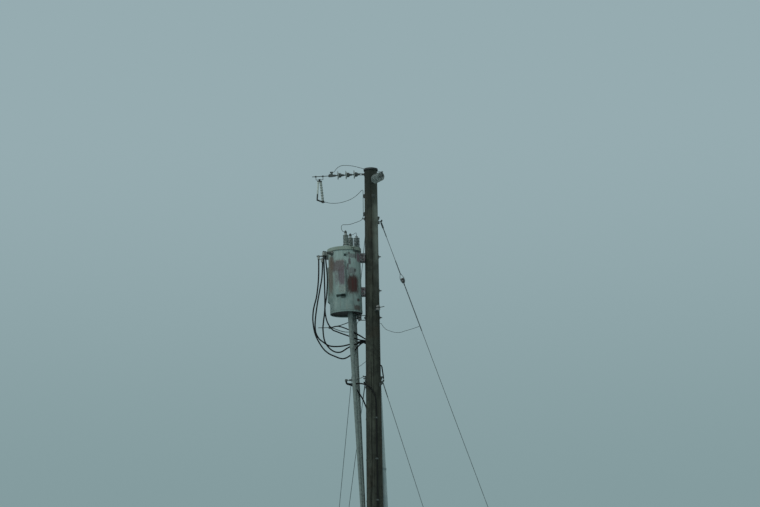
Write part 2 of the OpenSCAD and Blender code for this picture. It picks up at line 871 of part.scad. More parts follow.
module tank_lid() {
  color("#76857e")
    tank_frame()
      translate([0, 0, tank_h + seat]) {
        cylinder(h = lid_t, r = lid_r, $fn = 128);
        intersection() {
          translate([0, 0, lid_t - dome_sphere + lid_rise])
            sphere(r = dome_sphere, $fn = 128);
          cylinder(h = lid_t + lid_rise + 1, r = dome_r);
        }
        bushing_places()
          cylinder(h = boss_top, r = 56);
      }
}

module lid_band() {
  low = tank_h - flange_h - band_lip - seat;
  high = tank_h + seat + lid_t + seat;
  inner = lid_r + seat;
  color("#68766c")
    tank_frame() {
      rotate_extrude($fn = 128)
        polygon([
          [inner - 6, low], [inner + band_wall, low], [inner + band_wall, high + band_lip],
          [inner - 12, high + band_lip], [inner - 12, high], [inner, high],
          [inner, tank_h - flange_h - seat], [inner - 6, tank_h - flange_h - 6 - seat]]);
      rotate([0, 0, -58])
        for (side = [-1, 1])
          translate([inner + band_wall - 1, side * 14 - 4, low])
            cube([26, 8, high + band_lip - low]);
    }
}

module tank_clear() {
  cylinder(h = 3 * tank_h, r = tank_r + seat, center = true, $fn = 128);
}

module pocket(az, low, height, width) {
  rotate([0, 0, az])
    difference() {
      translate([0, width / 2, 0])
        rotate([90, 0, 0])
          linear_extrude(height = width)
            polygon([
              [tank_r - 24, low], [tank_r, low], [tank_r + pocket_depth, low + 34],
              [tank_r + pocket_depth, low + height - 16], [tank_r + pocket_depth - 12, low + height],
              [tank_r - 24, low + height]]);
      tank_clear();
    }
}

module cooling_pockets() {
  color("#75867f")
    tank_frame() {
      pocket(-105, 258, pocket_h, pocket_w);
      pocket(105, 258, pocket_h, pocket_w);
      pocket(180, 190, pocket_h, 120);
    }
}

module lifting_lugs() {
  color("#7d8a85")
    tank_frame()
      for (az = [-86.5, 86.5])
        rotate([0, 0, az])
          translate([0, 0, tank_h - 106])
            difference() {
              translate([0, 22, 0])
                rotate([90, 0, 0])
                  linear_extrude(height = 44)
                    difference() {
                      polygon([
                        [tank_r - 10, -26], [tank_r, -26], [tank_r + 34, 8], [tank_r + 38, 40],
                        [tank_r + 26, 46], [tank_r, 50], [tank_r - 10, 50]]);
                      translate([tank_r + 18, 24])
                        circle(d = 18);
                    }
              translate([0, 0, -tank_h])
                tank_clear();
            }
}

module hanger(drop, height) {
  plate_x = -face_r(drop + height / 2 + hanger_sag) - seat - hanger_plate;
  difference() {
    translate([0, 0, at(drop) - height / 2 - hanger_sag]) {
      translate([plate_x, -hanger_w / 2, 0])
        cube([hanger_plate, hanger_w, height]);
      for (side = [-1, 1])
        translate([-tank_off + tank_r - 40, side * (hanger_w / 2 - 5) - 5, 0])
          cube([tank_off - tank_r + 40 + plate_x + 1, 10, height]);
    }
    translate([plate_x - 1, 0, at(drop)])
      rotate([0, 90, 0])
        cylinder(h = hanger_plate + 2, d = bolt_d + 2 * fit);
    tank_frame()
      tank_clear();
  }
}

module tank_hangers() {
  color("#59615d") {
    hanger(upper_hanger_drop, hanger_h);
    hanger(lower_hanger_drop, hanger_h);
  }
}

module lid_top() {
  tank_frame()
    translate([0, 0, tank_h + seat + boss_top + seat])
      bushing_places()
        children();
}

module high_bushings() {
  foot = 24;
  sheds = 4;
  color("#53655f")
    lid_top()
      rotate_extrude()
        polygon(concat(
          [[0, 0], [40, 0], [40, foot]],
          ribbed(29, high_shed_d / 2, foot, (high_h - foot - 30) / sheds, sheds),
          [[24, high_h - 30], [20, high_h], [0, high_h]]));
}

module high_terminals() {
  color("#5c625e")
    lid_top() {
      difference() {
        cylinder(h = 16, r = 54);
        translate([0, 0, -1])
          cylinder(h = 18, r = 40 + seat);
      }
      translate([0, 0, high_h + seat]) {
        cylinder(h = 10, r = 24);
        cylinder(h = 44, d = 16);
        translate([0, 0, 22])
          rotate([0, 90, 0])
            cylinder(h = 44, d = 20, center = true);
      }
    }
}

// Arrester on its bracket beside the lid's rim

arrester_az = 49;
arrester_out = 333;
arrester_base = 92;

module arrester_frame() {
  tank_frame()
    rotate([0, 0, arrester_az])
      translate([arrester_out, 0, tank_h + arrester_base])
        children();
}

module arrester() {
  sheds = 5;
  color("#4f5f5c")
    arrester_frame()
      translate([0, 0, 12 + seat])
        rotate_extrude()
          polygon(concat(
            [[0, 0], [30, 0], [30, 12]],
            ribbed(28, arrester_d / 2, 12, (arrester_h - 24) / sheds, sheds),
            [[28, arrester_h - 12], [28, arrester_h], [0, arrester_h]]));
}

module arrester_fittings() {
  color("#4a504d") {
    arrester_frame() {
      translate([0, 0, 12 + seat + arrester_h + seat]) {
        cylinder(h = 8, r = 26);
        cylinder(h = 30, d = 12);
        cylinder(h = 16, d = 22, $fn = 6);
      }
      translate([-18, -25, 0])
        cube([48, 50, 12]);
    }
    difference() {
      tank_frame()
        rotate([0, 0, arrester_az])
          union() {
            translate([tank_r - 4, -25, tank_h - 150])
              cube([16, 50, 60]);
            translate([tank_r + 6, -25, tank_h - 150])
              cube([arrester_out - 18 - tank_r, 50, 12]);
            translate([arrester_out - 18, -25, tank_h - 150])
              cube([8, 50, 150 + arrester_base + 6]);
          }
      tank_frame()
        tank_clear();
    }
  }
}

// Low voltage bushings on the side away from the pole

low_az = [150, 180, 222];
low_drop = 58;
pad_at = 64;
pad_len = 64;
lug_h = 24;
lug_d = 30;
twin_spread = 20;

module low_place(az) {
  tank_frame()
    rotate([0, 0, az])
      translate([tank_r + seat, 0, tank_h - low_drop])
        rotate([0, 90, 0])
          children();
}

module low_places() {
  for (az = low_az)
    low_place(az)
      children();
}

module low_bushings() {
  color("#5a5148")
    difference() {
      low_places()
        translate([0, 0, -14])
          rotate_extrude()
            polygon([
              [0, 0], [low_d / 2 + 8, 0], [low_d / 2 + 8, 26], [low_d / 2, 32], [low_d / 2, 48],
              [low_d / 2 - 8, 52], [low_d / 2 - 8, 58], [low_d / 2 - 2, 62], [low_d / 2 - 2, 76],
              [low_d / 2 - 10, low_reach + 14], [0, low_reach + 14]]);
      tank_frame()
        tank_clear();
    }
}

module low_terminals() {
  color("#6d716c")
    low_places()
      translate([0, 0, low_reach + seat]) {
        cylinder(h = 12, d = 36, $fn = 6);
        cylinder(h = pad_at, d = 18);
        translate([-10, -17, pad_at - pad_len / 2])
          cube([20, 34, pad_len]);
      }
  color("#6d716c")
    for (k = [0 : len(low_az) - 1])
      low_place(low_az[k])
        for (out = k == 2 ? [-twin_spread, twin_spread] : [0])
          translate([10, 0, low_reach + seat + pad_at + out])
            rotate([0, 90, 0])
              cylinder(h = lug_h, d = lug_d);
}

module lead_1() {
  color("#161c1b")
    wire(LEAD_1_ROUTE, lead_d, 1);
}

module lead_2() {
  color("#161c1b")
    wire(LEAD_2_ROUTE, lead_d, 1);
}

module lead_3() {
  color("#161c1b")
    wire(LEAD_3_ROUTE, lead_d, 1);
}

module lead_4() {
  color("#161c1b")
    wire(LEAD_4_ROUTE, lead_d - 2, 1);
}

module lead_5() {
  color("#161c1b")
    wire(LEAD_5_ROUTE, lead_d - 4, 1);
}

module lead_6() {
  color("#414947")
    wire(LEAD_6_ROUTE, lead_d / 2, 1);
}

// Neutral brackets: strap, pin and spool, with the grip that ends the neutral

clevis_reach = 107;
clevis_gap = 76;
strap_w = 38;
spool_h = 74;
spool_d = 70;
spool_groove_d = 46;
spool_pin_d = 16;
grip_d = 12;

module neutral_strap(drop, az) {
  back = face_r(drop + clevis_gap / 2) + seat;
  on_pole(drop, az) {
    difference() {
      translate([back, -strap_w / 2, -clevis_gap / 2 - strap_t])
        cube([strap_t, strap_w, clevis_gap + 2 * strap_t]);
      rotate([0, 90, 0])
        cylinder(h = 3 * back, d = bolt_d + 2 * fit);
    }
    for (side = [-1, 1])
      translate([back, -strap_w / 2, side * (clevis_gap + strap_t) / 2 - strap_t / 2])
        cube([clevis_reach - 8, strap_w, strap_t]);
    translate([face_r(drop) + clevis_reach, 0, 0]) {
      for (side = [-1, 1])
        translate([-9, 0, side * (clevis_gap + strap_t) / 2])
          cylinder(h = strap_t, d = strap_w, center = true);
      translate([-9, 0, 0])
        cylinder(h = clevis_gap + 2 * strap_t + 24, d = spool_pin_d, center = true);
    }
  }
}

module neutral_clevises() {
  color("#4a4f4a") {
    neutral_strap(neutral_left_drop, 180);
    neutral_strap(neutral_right_drop, neutral_right_az);
  }
}

module spool_frame(drop, az) {
  on_pole(drop, az)
    translate([face_r(drop) + clevis_reach - 9, 0, 0])
      children();
}

module spool() {
  rotate_extrude()
    polygon([
      [spool_pin_d / 2 + seat, -spool_h / 2], [spool_d / 2 - 4, -spool_h / 2],
      [spool_d / 2, -spool_h / 2 + 6], [spool_d / 2, -14], [spool_groove_d / 2, -8],
      [spool_groove_d / 2, 8], [spool_d / 2, 14], [spool_d / 2, spool_h / 2 - 6],
      [spool_d / 2 - 4, spool_h / 2], [spool_pin_d / 2 + seat, spool_h / 2]]);
}

module neutral_spools() {
  color("#857f76") {
    spool_frame(neutral_left_drop, 180)
      spool();
    spool_frame(neutral_right_drop, neutral_right_az)
      spool();
  }
}

loop_r = spool_groove_d / 2 + grip_d / 2 + seat;
// The left grip sags from its loop, and its sections grow thicker towards the neutral
grip_bends = [[loop_r, 0, 0], [153, 0, -63], [328, 0, -125.3], [500, 0, -160], [700, 0, -160]];
grip_steps = [grip_d, grip_d + 2, grip_d + 4, grip_d];
collar_len = 24;
right_grip_end = [230, 0, -20];

module neutral_loop() {
  ring(loop_r, grip_d);
}

module neutral_grips() {
  color("#787f7a") {
    spool_frame(neutral_left_drop, 180) {
      neutral_loop();
      for (i = [0 : len(grip_bends) - 2])
        rod(grip_bends[i], grip_bends[i + 1], grip_steps[i]);
      translate(grip_bends[1])
        aim([0, 0, 0], grip_bends[2] - grip_bends[1])
          cylinder(h = collar_len, d = 2 * grip_d, center = true);
      translate(grip_bends[3] + [-16, -32, -16])
        cube([40, 64, 32]);
    }
    spool_frame(neutral_right_drop, neutral_right_az) {
      neutral_loop();
      rod(grip_bends[0], right_grip_end, grip_d);
    }
  }
}

// Service attachment: hook bolt, wedge clamp and the two tails

hook_d = 16;
hook_reach = 44;
arm_rise = 30;
hook_az = guy_right_az + 180;

module service_hook() {
  color("#4c514d")
    on_pole(service_drop, hook_az) {
      difference() {
        saddle(service_drop, hook_az, 42, -42, 46, service_thick);
        rotate([0, 90, 0])
          cylinder(h = 3 * face_r(service_drop), d = bolt_d + 2 * fit);
      }
      translate([face_r(service_drop) + 8, 0, arm_rise])
        rotate([0, 90, 0])
          cylinder(h = hook_reach - 8, d = hook_d);
      translate([face_r(service_drop) + hook_reach, 0, arm_rise])
        sphere(d = hook_d);
      translate([face_r(service_drop) + hook_reach, 0, arm_rise])
        cylinder(h = 22, d = hook_d);
    }
}

wedge_from = 150;
wedge_to = 270;
bail_wire = 6;
bail_back = 23.2;

module service_frame() {
  on_pole(service_drop, hook_az)
    translate([face_r(service_drop) + hook_reach - bail_back, 0, arm_rise])
      children();
}

module service_clamp() {
  top = (hook_d + bail_wire) / 2 + seat;
  color("#8c9592")
    service_frame() {
      for (side = [-1, 1]) {
        rod([-6, side * 14, top], [wedge_from, side * 12, -56], bail_wire);
        translate([-6, side * 14, top])
          rotate([0, 35, 0])
            sphere(d = bail_wire + 2);
      }
      rod([-6, -14, top], [-6, 14, top], bail_wire);
      translate([wedge_from - 10, -18, -70])
        cube([wedge_to - wedge_from, 36, 26]);
      rod([wedge_to - 20, 0, -58], [wedge_to + 30, 0, -61], 12);
      translate([wedge_to + 20, -34, -76])
        cube([40, 68, 30]);
    }
}

module service_tail_1() {
  color("#171d1c")
    wire(TAIL_1_ROUTE, tail_d, 1);
}

module service_tail_2() {
  color("#171d1c")
    wire(TAIL_2_ROUTE, tail_d, 1);
}

function riser_at(az, z) = polar(pole_r(z) + seat + tail_d / 2, az, z);

module service_risers() {
  color("#171d1c")
    for (az = [tail_1_az, tail_2_az])
      rod(riser_at(az, 0), riser_at(az, at(tail_end_drop) - seat), tail_d);
}

clip_w = 26;
clip_wall = 4;
clip_drop = 4310;
lowest_clip = 200;

module riser_clip(az, z) {
  out = pole_r(z) + seat + tail_d / 2;
  difference() {
    rotate([0, 0, az]) {
      translate([out, 0, z - clip_w / 2])
        cylinder(h = clip_w, d = tail_d + 2 * clip_wall);
      translate([pole_r(z) - 10, -tail_d - 4, z - clip_w / 2])
        cube([13, 2 * tail_d + 8, clip_w]);
    }
    rod(riser_at(az, 0), riser_at(az, pole_h), tail_d + 2 * seat);
    pole_grown(seat);
  }
}

module riser_clips() {
  color("#5b625f")
    for (z = [at(clip_drop) : -clip_pitch : lowest_clip])
      for (az = [tail_1_az, tail_2_az])
        riser_clip(az, z);
}

// Riser pipe behind the pole, raked to the right, with its open bell mouth

riser_top = [riser_top_x, riser_back, at(riser_drop)];
riser_foot = [riser_foot_x, riser_back, 0];

module riser_pipe() {
  rake = unit(riser_foot - riser_top);
  below = riser_foot + 60 * rake;
  above = riser_top - 40 * rake;
  color("#667672")
    difference() {
      union() {
        rod(below, riser_top, riser_d);
        rod(riser_top + 4 * rake, above, riser_d + 14);
      }
      rod(below + 10 * rake, above - 10 * rake, riser_d - 2 * riser_wall);
      translate([riser_foot_x - 500, riser_back - 500, -400])
        cube([1000, 1000, 400]);
    }
}

riser_bracket_z = [6900, 5200, 3500, 1800, 500];

function riser_x(z) = riser_foot_x + (riser_top_x - riser_foot_x) * z / at(riser_drop);

module riser_bracket(z) {
  x = riser_x(z);
  az = atan2(riser_back, x);
  far = norm([x, riser_back]);
  difference() {
    rotate([0, 0, az]) {
      translate([pole_r(z) - 16, -20, z - 15])
        cube([far - pole_r(z) + 16, 40, 30]);
      translate([far, 0, z - 15])
        cylinder(h = 30, d = riser_d + 14);
    }
    rod(riser_foot, riser_top, riser_d + 2 * seat);
    pole_grown(seat);
  }
}

module riser_brackets() {
  color("#525b58")
    for (z = riser_bracket_z)
      riser_bracket(z);
}

// Guys: hooks on the pole, strands with strain insulators, grips and anchor rods

arm_d = 16;
loop_wire = 7;
guy_loop_r = 22;
anchor_eye_r = 20;
anchor_eye_wire = 14;
anchor_rod_d = 18;
sleeve_d = guy_d + 8;

// Each guy: hook drop, bearing of its hook, anchor, share of its length down to the insulator,
// which side of its arm the hook's bolt is on, and the arm's length
GUYS = [
  [guy_right_high, guy_right_az, anchor_right_high, 0.109, 1, 64],
  [guy_right_low, guy_right_az, anchor_right_low, 0, 1, 44],
  [guy_back_high, guy_back_az, anchor_back, 0.192, 1, 52],
  [guy_back_low, guy_back_low_az, anchor_back, 0, -1, 52]];

module guy_hook(drop, az, side, arm) {
  on_pole(drop, az) {
    difference() {
      if (side > 0)
        saddle(drop, az, 46, -40, 84, hook_thick);
      else
        saddle(drop, az, 46, -84, 40, hook_thick);
      translate([0, 0, side * hook_bolt])
        rotate([0, 90, 0])
          cylinder(h = 3 * face_r(drop), d = bolt_d + 2 * fit);
    }
    translate([face_r(drop) + 6, 0, 0])
      rotate([0, 90, 0])
        cylinder(h = arm - 6, d = arm_d);
    translate([face_r(drop) + arm, 0, 0])
      sphere(d = arm_d);
    translate([face_r(drop) + arm, 0, 0])
      cylinder(h = 26, d = arm_d);
  }
}

module guy_hooks() {
  color("#3d4340")
    for (g = GUYS)
      guy_hook(g[0], g[1], g[4], g[5]);
}

// A guy's loop hangs on the arm inside its upturned tip
function guy_p(g) = polar(face_r(g[0]) + g[5] - 16, g[1], at(g[0]));
function guy_dir(g) = unit(g[2] - guy_p(g));
function guy_len(g) = norm(g[2] - guy_p(g));
function along(g, s) = guy_p(g) + guy_dir(g) * s;
function insulator_s(g) = guy_len(g) * g[3];
loop_drop = guy_loop_r - arm_d / 2 - loop_wire / 2 - 2 * seat;
grip_start = loop_drop + guy_loop_r - 2;
strand_start = grip_start + 30;
eye_ease = 1.5;
link_drop = anchor_eye_r + guy_loop_r - (anchor_eye_wire + loop_wire) / 2 - eye_ease;
bail_wire_d = 7;
bail_out = strain_d / 2 + bail_wire_d / 2 + 1;
bail_run = 70;
bail_tip = strain_len / 2 + bail_run;
bail_grip = 800;
top_grip = 250;
foot_grip = 620;

module guy_strands() {
  color("#868f8c")
    for (g = GUYS) {
      last = guy_len(g) - anchor_stem - link_drop - guy_loop_r - 30;
      if (g[3] > 0) {
        rod(along(g, strand_start), along(g, insulator_s(g) - bail_tip - 30), guy_d);
        rod(along(g, insulator_s(g) + bail_tip + 30), along(g, last), guy_d);
      } else {
        rod(along(g, strand_start), along(g, last), guy_d);
      }
    }
}

// Sleeve of a grip along +Z from the frame's origin, hollow past its closed start
module grip_sleeve(start, length, closed) {
  difference() {
    translate([0, 0, start])
      cylinder(h = length, d = sleeve_d);
    translate([0, 0, start + closed - seat])
      cylinder(h = length + 1, d = guy_d + 2 * seat);
  }
}

// Wire bail that passes through the insulator's far hole and closes on a sleeve
module bail(turn) {
  rotate([0, 0, turn]) {
    hole = -0.2 * strain_len;
    rod([-bail_out, 0, hole], [bail_out, 0, hole], bail_wire_d);
    for (side = [-1, 1]) {
      corner = [side * bail_out, 0, hole];
      bend = [side * bail_out, 0, strain_len / 2 + 6];
      translate(corner)
        sphere(d = bail_wire_d);
      rod(corner, bend, bail_wire_d);
      translate(bend)
        sphere(d = bail_wire_d);
      rod(bend, [side * 4, 0, bail_tip + 8], bail_wire_d);
    }
  }
}

module guy_grips() {
  color("#7a837f")
    for (g = GUYS) {
      toward = guy_dir(g);
      aim(guy_p(g), g[2]) {
        rotate([0, 0, atan2(toward[1], toward[0]) - g[1]])
          translate([0, 0, loop_drop])
            rotate([0, 90, 0])
              ring(guy_loop_r, loop_wire);
        grip_sleeve(grip_start, top_grip, strand_start - grip_start);
      }
      aim(along(g, guy_len(g) - anchor_stem), guy_p(g)) {
        translate([0, 0, link_drop])
          rotate([0, 90, 0])
            ring(guy_loop_r, loop_wire);
        grip_sleeve(link_drop + guy_loop_r - 2, foot_grip, 32);
      }
      if (g[3] > 0) {
        aim(along(g, insulator_s(g)), guy_p(g)) {
          bail(0);
          grip_sleeve(bail_tip, top_grip, 30);
        }
        aim(along(g, insulator_s(g)), g[2]) {
          bail(90);
          grip_sleeve(bail_tip, bail_grip, 30);
        }
      }
    }
}

module strain_body() {
  hole_d = bail_wire_d + 2 * seat;
  difference() {
    rotate_extrude()
      polygon([
        [0, -strain_len / 2], [strain_d * 0.36, -strain_len / 2], [strain_d / 2, -strain_len * 0.3],
        [strain_d / 2, -strain_len * 0.14], [strain_d * 0.4, 0], [strain_d / 2, strain_len * 0.14],
        [strain_d / 2, strain_len * 0.3], [strain_d * 0.36, strain_len / 2], [0, strain_len / 2]]);
    translate([0, 0, strain_len * 0.2])
      rotate([0, 90, 0])
        cylinder(h = strain_d + 10, d = hole_d, center = true);
    translate([0, 0, -strain_len * 0.2])
      rotate([90, 0, 0])
        cylinder(h = strain_d + 10, d = hole_d, center = true);
  }
}

module guy_insulators() {
  color("#8b8a80")
    for (g = GUYS)
      if (g[3] > 0)
        aim(along(g, insulator_s(g)), g[2])
          strain_body();
}

// Turns a rod about itself, so that its seam is off the ends of the ground's slanting cut
seam_turn = 40;

module anchor_rods() {
  color("#3c413f")
    difference() {
      for (g = GUYS)
        aim(along(g, guy_len(g) + 60), guy_p(g)) {
          rotate([0, 0, seam_turn])
            cylinder(h = anchor_stem + 60 - anchor_eye_r - 3, d = anchor_rod_d);
          translate([0, 0, anchor_stem + 60])
            rotate([90, 0, 0])
              linear_extrude(height = anchor_eye_wire, center = true)
                difference() {
                  circle(r = anchor_eye_r + anchor_eye_wire / 2);
                  circle(r = anchor_eye_r - anchor_eye_wire / 2);
                }
        }
      translate([-6000, -6000, -400])
        cube([12000, 12000, 400]);
    }
}

module bond_wire_right() {
  color("#59625f")
    wire(BOND_RIGHT_ROUTE, bond_d, 2);
}

module bond_wire_back() {
  color("#59625f")
    wire(BOND_BACK_ROUTE, bond_d, 2);
}

pole();
pole_cap();
through_bolts();
line_eyes();
left_string_sheds();
left_string_fittings();
right_string_sheds();
right_string_fittings();
left_strain_clamp();
right_strain_clamp();
line_stub();
stirrup();
cutout_insulator();
cutout_fittings();
fuse_tube();
primary_jumper();
top_jumper();
arrester_jumper();
wire_brackets();
tank();
tank_lid();
lid_band();
cooling_pockets();
lifting_lugs();
tank_hangers();
high_bushings();
high_terminals();
arrester();
arrester_fittings();
low_bushings();
low_terminals();
lead_1();
lead_2();
lead_3();
lead_4();
lead_5();
lead_6();
neutral_clevises();
neutral_spools();
neutral_grips();
service_hook();
service_clamp();
service_tail_1();
service_tail_2();
service_risers();
riser_clips();
riser_pipe();
riser_brackets();
guy_hooks();
guy_strands();
guy_grips();
guy_insulators();
anchor_rods();
bond_wire_right();
bond_wire_back();
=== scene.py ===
import json

import bpy
import numpy as np
from mathutils import Matrix, Vector


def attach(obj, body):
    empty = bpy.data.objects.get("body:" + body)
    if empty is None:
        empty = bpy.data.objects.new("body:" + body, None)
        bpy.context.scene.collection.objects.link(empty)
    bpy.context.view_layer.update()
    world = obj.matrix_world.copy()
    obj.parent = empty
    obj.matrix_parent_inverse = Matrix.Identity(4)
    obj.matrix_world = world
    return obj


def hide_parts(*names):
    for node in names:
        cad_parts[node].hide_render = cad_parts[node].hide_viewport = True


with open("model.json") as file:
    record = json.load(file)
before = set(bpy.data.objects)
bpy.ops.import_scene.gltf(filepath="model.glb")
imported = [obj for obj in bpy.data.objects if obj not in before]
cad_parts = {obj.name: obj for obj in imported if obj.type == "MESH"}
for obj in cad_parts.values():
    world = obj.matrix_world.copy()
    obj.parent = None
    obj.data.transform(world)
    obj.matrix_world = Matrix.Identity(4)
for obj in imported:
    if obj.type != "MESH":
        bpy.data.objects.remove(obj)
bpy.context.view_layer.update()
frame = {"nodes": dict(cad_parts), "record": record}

poleBody = "pole_assembly"
print("frame loaded,", len(frame["nodes"]), "nodes")


def added(name, data):
    made = bpy.data.objects.new(name, data)
    bpy.context.scene.collection.objects.link(made)
    return made


# camera, from the road beside the pole, looking up at its top

shot = {"place": (0.14, -30.9, 1.6), "pitch": 13.2, "roll": -0.81, "lens": 88.39, "sensor": 36.0,
        "far": 400.0}


def makeCamera():
    data = bpy.data.cameras.new("shot")
    data.lens, data.sensor_width, data.clip_end = shot["lens"], shot["sensor"], shot["far"]
    camera = added("shot", data)
    tilt = Matrix.Rotation(np.radians(90 + shot["pitch"]), 4, "X")
    roll = Matrix.Rotation(np.radians(shot["roll"]), 4, "Z")
    camera.matrix_world = Matrix.Translation(shot["place"]) @ tilt @ roll
    bpy.context.scene.camera = camera


makeCamera()
bpy.context.scene.view_settings.view_transform = "Standard"
print("camera made")


# places: 4x4 matrices that repeat the frames of the CAD source, in metres

timber = {"height": 10.33, "topRadius": 0.109, "baseRadius": 0.159, "litAndBleached": (7.8, 9.0),
          "tarred": (9.75, 10.15)}
seat = 0.0003  # gap at each seat, as in the CAD source


def shift(x=0.0, y=0.0, z=0.0):
    made = np.eye(4)
    made[:3, 3] = x, y, z
    return made


def turn(axis, degrees):
    made = np.eye(4)
    i, j = {"X": (1, 2), "Y": (2, 0), "Z": (0, 1)}[axis]
    c, s = np.cos(np.radians(degrees)), np.sin(np.radians(degrees))
    made[i, i], made[j, j], made[j, i], made[i, j] = c, c, s, -s
    return made


def poleRadius(z):
    return timber["baseRadius"] + (timber["topRadius"] - timber["baseRadius"]) * z / timber["height"]


def faceRadius(drop):
    return poleRadius(timber["height"] - drop)


def onPole(drop, bearing):  # +X points away from the pole at that bearing
    return shift(z=timber["height"] - drop) @ turn("Z", bearing)


def onFace(drop, bearing, out, side=0.0, up=0.0):  # +Z points away from the pole, out from its face
    return onPole(drop, bearing) @ shift(faceRadius(drop) + out, side, up) @ turn("Y", 90)


def aimed(start, end):  # +Z runs from start to end
    way = np.subtract(end, start)
    tilt = np.degrees(np.arccos(way[2] / np.linalg.norm(way)))
    return shift(*start) @ turn("Z", np.degrees(np.arctan2(way[1], way[0]))) @ turn("Y", tilt)


# shapes: a shape is its points and its triangles

def halved(quads):
    return np.concatenate([quads[:, [0, 1, 2]], quads[:, [0, 2, 3]]])


def gridShape(points):  # rows of points, each closed on itself, become two triangles a cell
    rows, columns = points.shape[:2]
    i, j = np.meshgrid(np.arange(rows - 1), np.arange(columns), indexing="ij")
    k = (j + 1) % columns
    cells = [i * columns + j, i * columns + k, (i + 1) * columns + k, (i + 1) * columns + j]
    return points.reshape(-1, 3), halved(np.stack(cells, -1).reshape(-1, 4))


def placed(shape, matrix):
    return shape[0] @ matrix[:3, :3].T + matrix[:3, 3], shape[1]


def joined(shapes):
    starts = np.cumsum([0] + [len(s[0]) for s in shapes[:-1]])
    return np.concatenate([s[0] for s in shapes]), np.concatenate([s[1] + n for s, n in zip(shapes, starts)])


def alike(points):  # the first of each group of points that fall together, and the group of every point
    _, first, group = np.unique(np.round(points, 7), axis=0, return_index=True, return_inverse=True)
    return first, group.ravel()


def welded(shape):  # points that fall together become one, and triangles without area go
    first, group = alike(shape[0])
    t = group[shape[1]]
    whole = (t[:, 0] != t[:, 1]) & (t[:, 1] != t[:, 2]) & (t[:, 0] != t[:, 2])
    return shape[0][first], t[whole]


def rounded(corners, cut, steps=3):  # each corner becomes a short parabola between points cut away from it
    p = np.asarray(corners, float)
    before, here, after = p[:-2], p[1:-1], p[2:]
    back, on = before - here, after - here
    lengthBack, lengthOn = np.linalg.norm(back, axis=1), np.linalg.norm(on, axis=1)
    away = np.minimum(cut, 0.45 * np.minimum(lengthBack, lengthOn))
    a = here + back * (away / lengthBack)[:, None]
    b = here + on * (away / lengthOn)[:, None]
    t = np.linspace(0, 1, steps + 1)[None, :, None]
    bends = (1 - t) ** 2 * a[:, None] + 2 * t * (1 - t) * here[:, None] + t ** 2 * b[:, None]
    return np.concatenate([p[:1], bends.reshape(-1, p.shape[1]), p[-1:]])


def lathe(profile, segments):  # radius and height pairs turned round the Z axis
    profile = np.asarray(profile, float)
    angle = np.linspace(0, 2 * np.pi, segments, endpoint=False)
    radius, height = profile[:, :1], profile[:, 1:]
    return gridShape(np.stack([radius * np.cos(angle), radius * np.sin(angle), height + 0 * angle], -1))


def ringShape(radius, wire, around, section):  # a torus: a circle of wire carried round a larger circle
    a = np.linspace(0, 2 * np.pi, section + 1)[::-1]
    return lathe(np.stack([radius + wire / 2 * np.cos(a), -wire / 2 * np.sin(a)], 1), around)


def hexShape(across, height, chamfer=0.12, columns=48):  # a hexagon's radius, cut by a cone at both ends
    angle = np.linspace(0, 2 * np.pi, columns, endpoint=False)
    side = across / 2 / np.cos((angle + np.pi / 6) % (np.pi / 3) - np.pi / 6)
    wide, c = across * 0.49, chamfer * height
    rows = [(0, 0), (0, wide), (c, across), (height - c, across), (height, wide), (height, 0)]
    radius = np.array([np.minimum(side, limit) for _, limit in rows])
    z = np.array([z for z, _ in rows])[:, None] + 0 * angle
    return gridShape(np.stack([radius * np.cos(angle), radius * np.sin(angle), z], -1))


def boxShape(low, high):  # eight corners and six faces, for pieces that a Bevel modifier rounds
    points = np.array([[(low, high)[x][0], (low, high)[y][1], (low, high)[z][2]]
                       for x in (0, 1) for y in (0, 1) for z in (0, 1)], float)
    quads = np.array([[0, 1, 3, 2], [4, 6, 7, 5], [0, 4, 5, 1], [2, 3, 7, 6], [0, 2, 6, 4], [1, 5, 7, 3]])
    return points, halved(quads)


def smoothRoute(points, steps):  # Catmull-Rom curve through the points, as in the CAD source
    p = np.asarray(points, float)
    a, b, c, d = p[np.r_[0, 0:len(p) - 2]], p[:-1], p[1:], p[np.r_[2:len(p), len(p) - 1]]
    t = (np.arange(steps) / steps)[None, :, None]
    a, b, c, d = a[:, None], b[:, None], c[:, None], d[:, None]
    bend, twist = 2 * a - 5 * b + 4 * c - d, 3 * b - 3 * c + d - a
    curve = 0.5 * (2 * b + (c - a) * t + bend * t ** 2 + twist * t ** 3)
    return np.concatenate([curve.reshape(-1, 3), p[-1:]])


def runAlong(line):  # length from the line's start to each of its points
    return np.concatenate([[0], np.cumsum(np.linalg.norm(np.diff(line, axis=0), axis=1))])


def evenly(line, step):  # the same line with points a step apart
    run = runAlong(line)
    at = np.linspace(0, run[-1], max(2, int(np.ceil(run[-1] / step)) + 1))
    return np.stack([np.interp(at, run, line[:, k]) for k in range(3)], 1)


def strandSection(wires, points):  # outline of wires laid round a core, as a share of the outer radius
    phi = np.linspace(-np.pi / wires, np.pi / wires, points, endpoint=False)
    s = np.sin(np.pi / wires)
    one = (np.cos(phi) + np.sqrt(np.maximum(0, s ** 2 - np.sin(phi) ** 2))) / (1 + s)
    return np.tile(one, wires)


